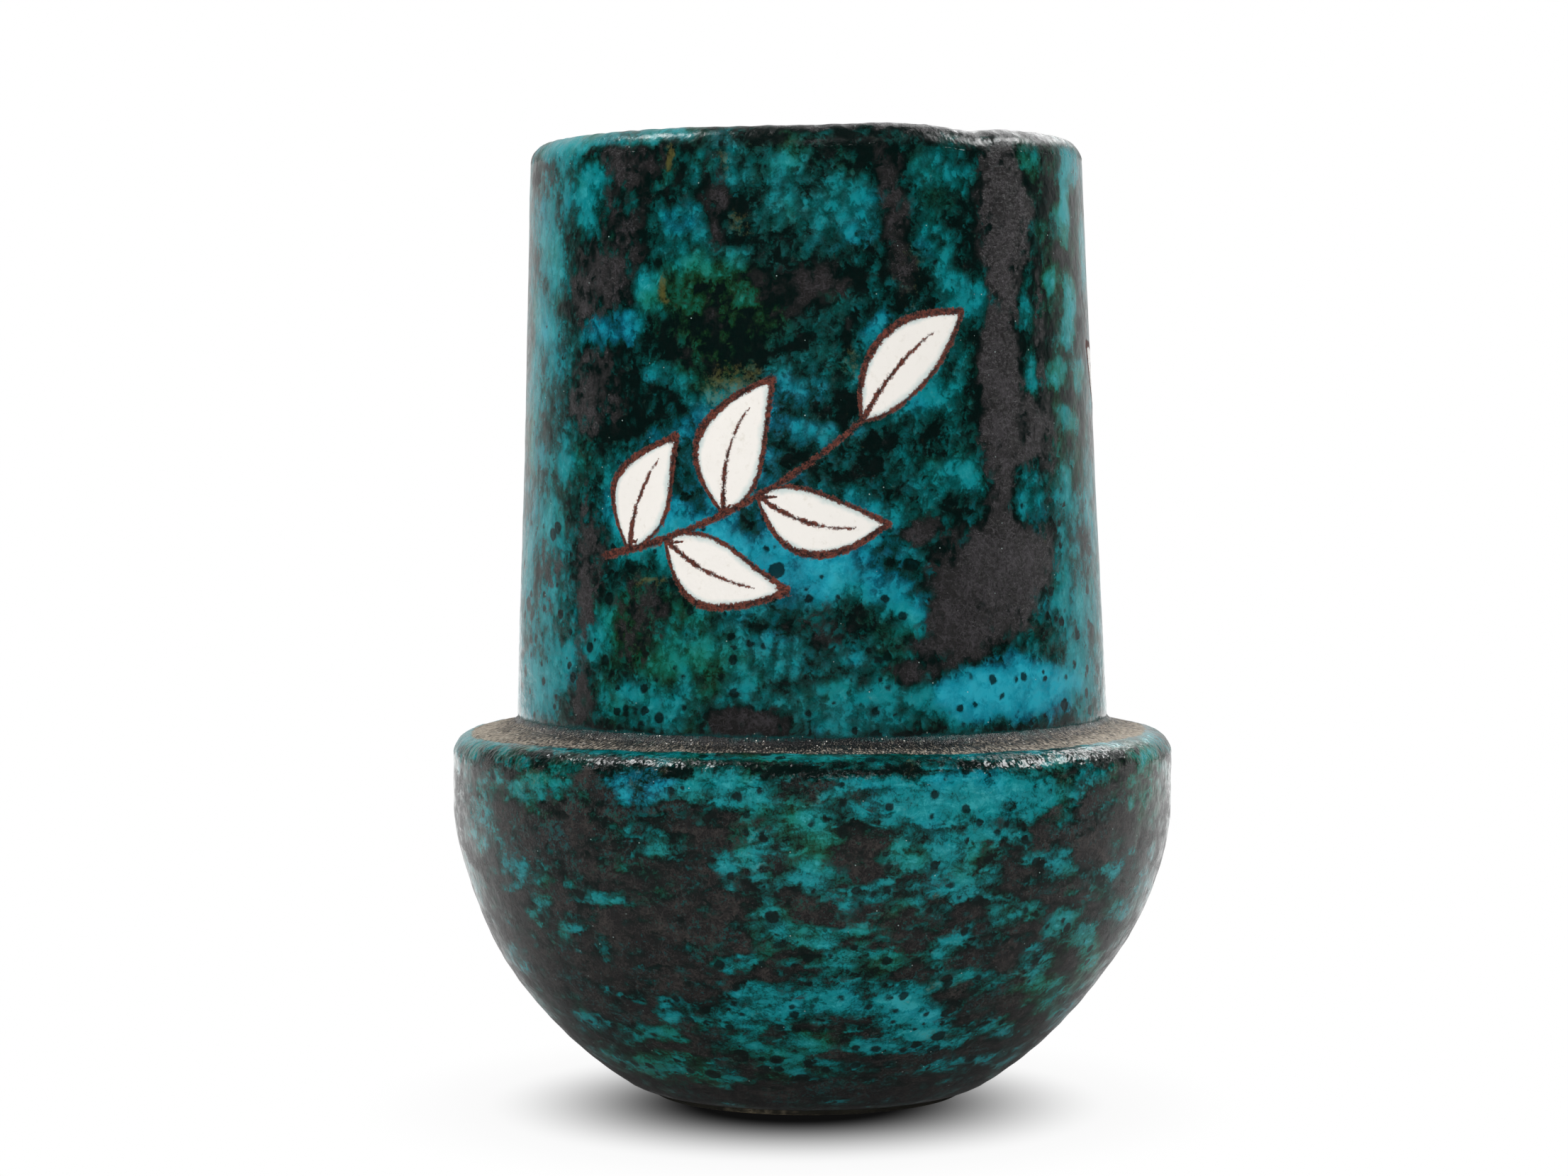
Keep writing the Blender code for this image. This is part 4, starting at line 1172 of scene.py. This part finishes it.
class VASE_OT_foot_ring(bpy.types.Operator):
    """Builds the bare clay ring that the vase stands on"""

    bl_idname = "vase.foot_ring"
    bl_label = "Foot ring"

    def execute(self, context):
        sizes = context.scene.vase_joint
        outer, top = FOOT_HIGH.x / MM, FOOT_HIGH.z / MM
        inner, ease = outer - sizes.ring_width / MM, sizes.ring_round / MM
        outline = [(inner, top)]
        outline += arc((inner + ease, ease), ease, 180, 270)
        outline += arc((outer - ease, ease), ease, -90, 0)
        outline += [(outer, top), (inner, top)]
        wall = Wall([("ring", outline, 0.4)], sizes.columns, closed=True)
        off_table = smooth(0.1, 0.8, wall.height)
        wall.push(off_table * (0.06 * clouds(wall.points(), 3.0, 3, 61) - 0.04))
        # Painted shade on the ring's outer wall where it meets the table, half as dark a little left of the
        # front
        bare = humps(wall.angle, ((-18, 24, 1.0),))
        fields = {"run": smooth(outer - 0.9, outer - 0.3, wall.radius) * (1.0 - 0.5 * bare)}
        shift = thrown_shift(wall, context.scene.vase_bowl)
        material = finish_material("foot_bare_clay", clay_layers, context.scene.vase_colours)
        piece(wall, "foot_ring_bare", "foot_ring", material, shift, fields)
        return {"FINISHED"}


class VASE_OT_slip_bed(bpy.types.Operator):
    """Gives the hidden bed of slip under the neck its fired clay finish"""

    bl_idname = "vase.slip_bed"
    bl_label = "Slip bed"

    def execute(self, context):
        material = finish_material("joint_slip", clay_layers, context.scene.vase_colours)
        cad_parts["slip_bed"].data.materials[0] = material
        return {"FINISHED"}


class VASE_OT_stage(bpy.types.Operator):
    """Sets up the white table, the lamps, the world and the camera"""

    bl_idname = "vase.stage"
    bl_label = "Stage"

    def execute(self, context):
        studio = context.scene.vase_studio
        self.table()
        self.lamps(context, studio)
        self.world(context, studio)
        self.camera(context, studio)
        context.scene.view_settings.view_transform = "Standard"
        return {"FINISHED"}

    def table(self):
        """A white table top that fades into the white background, with a soft shadow round the foot."""
        bpy.ops.mesh.primitive_plane_add(size=TABLE_SIZE)
        table = bpy.context.object
        table.name = "white_table"
        material = bpy.data.materials.new("white_table")
        material.use_nodes = True
        nodes = Nodes(material.node_tree)
        shader = nodes.tree.nodes["Principled BSDF"]
        shader.inputs["Base Color"].default_value = (0.92, 0.92, 0.92, 1.0)
        shader.inputs["Roughness"].default_value = 0.9
        shader.inputs["Specular IOR Level"].default_value = 0.1
        rays = nodes.add("ShaderNodeLightPath").outputs
        place = nodes.add("ShaderNodeTexCoord").outputs["Object"]
        near = nodes.vector("MULTIPLY", nodes.vector("ADD", place, SHADOW_SHIFT), SHADOW_SQUEEZE)
        near = nodes.vector("LENGTH", near)

        # What the eye sees: white, but for the shadow
        core, rim = nodes.span(near, 0.022, 0.069, 0.005, 1.0), nodes.span(near, 0.05, 0.10, 0.94, 1.0)
        white = nodes.add("ShaderNodeEmission", {"Strength": nodes.times(core, rim)}).outputs[0]

        # What the glaze mirrors: brightest behind the vase, dark in front, far aside and near the foot
        split = nodes.add("ShaderNodeSeparateXYZ", {0: place}).outputs
        mirrored = nodes.span(split["Y"], -0.10, 0.25, 0.15, 1.1)
        for share in (
            nodes.span(nodes.maths("ABSOLUTE", split["X"]), 0.15, 1.0, 1.0, 0.25),
            nodes.span(split["Y"], 0.30, 0.70, 1.0, 1.5),
            nodes.span(near, 0.04, 0.13, 0.3, 1.0),
        ):
            mirrored = nodes.times(mirrored, share)
        grey = nodes.add("ShaderNodeEmission", {"Strength": mirrored}).outputs[0]
        seen = nodes.add("ShaderNodeMixShader", {0: rays["Is Camera Ray"], 1: shader.outputs[0], 2: white})
        seen = nodes.add("ShaderNodeMixShader", {0: rays["Is Glossy Ray"], 1: seen.outputs[0], 2: grey})
        nodes.put(nodes.tree.nodes["Material Output"].inputs["Surface"], seen.outputs[0])
        table.data.materials.append(material)

    def lamps(self, context, studio):
        """Soft lamps on both sides and behind, a small one in front, a wide one that no highlight shows."""
        for name, towards, size, power, shines in (
            ("left_lamp", (-0.53, 0.10, 0.84), (0.34, 0.28), studio.left_power, True),
            ("right_lamp", (0.75, 0.19, 0.70), (0.65, 0.28), studio.right_power, True),
            ("small_lamp", (0.14, -0.85, 0.52), (0.26, 0.12), studio.small_power, True),
            ("front_lamp", (-0.25, -0.85, 0.50), (1.20, 1.20), studio.fill_power, False),
            ("back_lamp", (0.30, 0.80, 0.55), (0.60, 0.40), studio.back_power, True),
        ):
            lamp = bpy.data.lights.new(name, "AREA")
            lamp.shape = "RECTANGLE"
            lamp.size, lamp.size_y = size
            lamp.energy = power
            holder = bpy.data.objects.new(name, lamp)
            direction = Vector(towards).normalized()
            holder.location = Vector(LAMP_TARGET) + direction * studio.lamp_distance
            holder.rotation_euler = direction.to_track_quat("Z", "Y").to_euler()
            holder.visible_glossy = shines
            holder.visible_camera = False
            context.scene.collection.objects.link(holder)

    def world(self, context, studio):
        """White behind the vase, dark in front of it for what the glaze mirrors, and even soft light."""
        world = bpy.data.worlds.new("white_studio")
        context.scene.world = world
        world.use_nodes = True
        nodes = Nodes(world.node_tree)
        background = nodes.tree.nodes["Background"]
        rays = nodes.add("ShaderNodeLightPath").outputs
        direction = nodes.add("ShaderNodeTexCoord").outputs["Generated"]
        depth = nodes.add("ShaderNodeSeparateXYZ", {0: direction}).outputs["Y"]
        mirrored = nodes.span(depth, 0.18, 1.05, 0.005, 0.72)
        strength = nodes.blend(rays["Is Glossy Ray"], studio.ambient, mirrored)
        strength = nodes.blend(rays["Is Camera Ray"], strength, 1.0)
        background.inputs["Color"].default_value = (1.0, 1.0, 1.0, 1.0)
        nodes.put(background.inputs["Strength"], strength)

    def camera(self, context, studio):
        """The photograph's viewpoint."""
        camera = bpy.data.cameras.new("camera")
        camera.sensor_width = SENSOR_MM
        camera.lens = FOCAL_PIXELS / PHOTO_SIZE[0] * SENSOR_MM
        camera.clip_start = 0.01
        holder = bpy.data.objects.new("camera", camera)
        holder.location = (0.0, -studio.distance, studio.eye_height)
        pitch = math.atan((PHOTO_SIZE[1] / 2 - HORIZON_PIXEL) / FOCAL_PIXELS)
        yaw = math.atan((AXIS_PIXEL - PHOTO_SIZE[0] / 2) / FOCAL_PIXELS)
        holder.rotation_euler = (math.pi / 2 - pitch, 0.0, yaw)
        context.scene.collection.objects.link(holder)
        context.scene.camera = holder


class VASE_PT_panel(bpy.types.Panel):
    """Lists the pieces and their sizes"""

    bl_idname = "VASE_PT_panel"
    bl_label = "Ceramic Vase"
    bl_space_type = "VIEW_3D"
    bl_region_type = "UI"
    bl_category = "Vase"

    def draw(self, context):
        for operator in OPERATORS:
            self.layout.operator(operator.bl_idname)
        for name in GROUPS:
            box = self.layout.box()
            box.label(text=name.replace("_", " ").capitalize())
            group = getattr(context.scene, name)
            for key in group.__annotations__:
                box.prop(group, key)


OPERATORS = (
    VASE_OT_neck,
    VASE_OT_bowl,
    VASE_OT_luting_fillet,
    VASE_OT_inner_coil,
    VASE_OT_foot_ring,
    VASE_OT_slip_bed,
    VASE_OT_stage,
)
GROUPS = {
    "vase_bowl": VaseBowlSizes,
    "vase_neck": VaseNeckSizes,
    "vase_joint": VaseJointSizes,
    "vase_colours": VaseColours,
    "vase_studio": VaseStudio,
}


def register():
    for name, group in GROUPS.items():
        bpy.utils.register_class(group)
        setattr(bpy.types.Scene, name, PointerProperty(type=group))
    for operator in OPERATORS:
        bpy.utils.register_class(operator)
    bpy.utils.register_class(VASE_PT_panel)


def unregister():
    bpy.utils.unregister_class(VASE_PT_panel)
    for operator in reversed(OPERATORS):
        bpy.utils.unregister_class(operator)
    for name, group in reversed(list(GROUPS.items())):
        delattr(bpy.types.Scene, name)
        bpy.utils.unregister_class(group)


def main():
    register()
    bpy.ops.vase.neck()
    bpy.ops.vase.bowl()
    bpy.ops.vase.luting_fillet()
    bpy.ops.vase.inner_coil()
    bpy.ops.vase.foot_ring()
    bpy.ops.vase.slip_bed()
    bpy.ops.vase.stage()


if __name__ == "__main__":
    main()
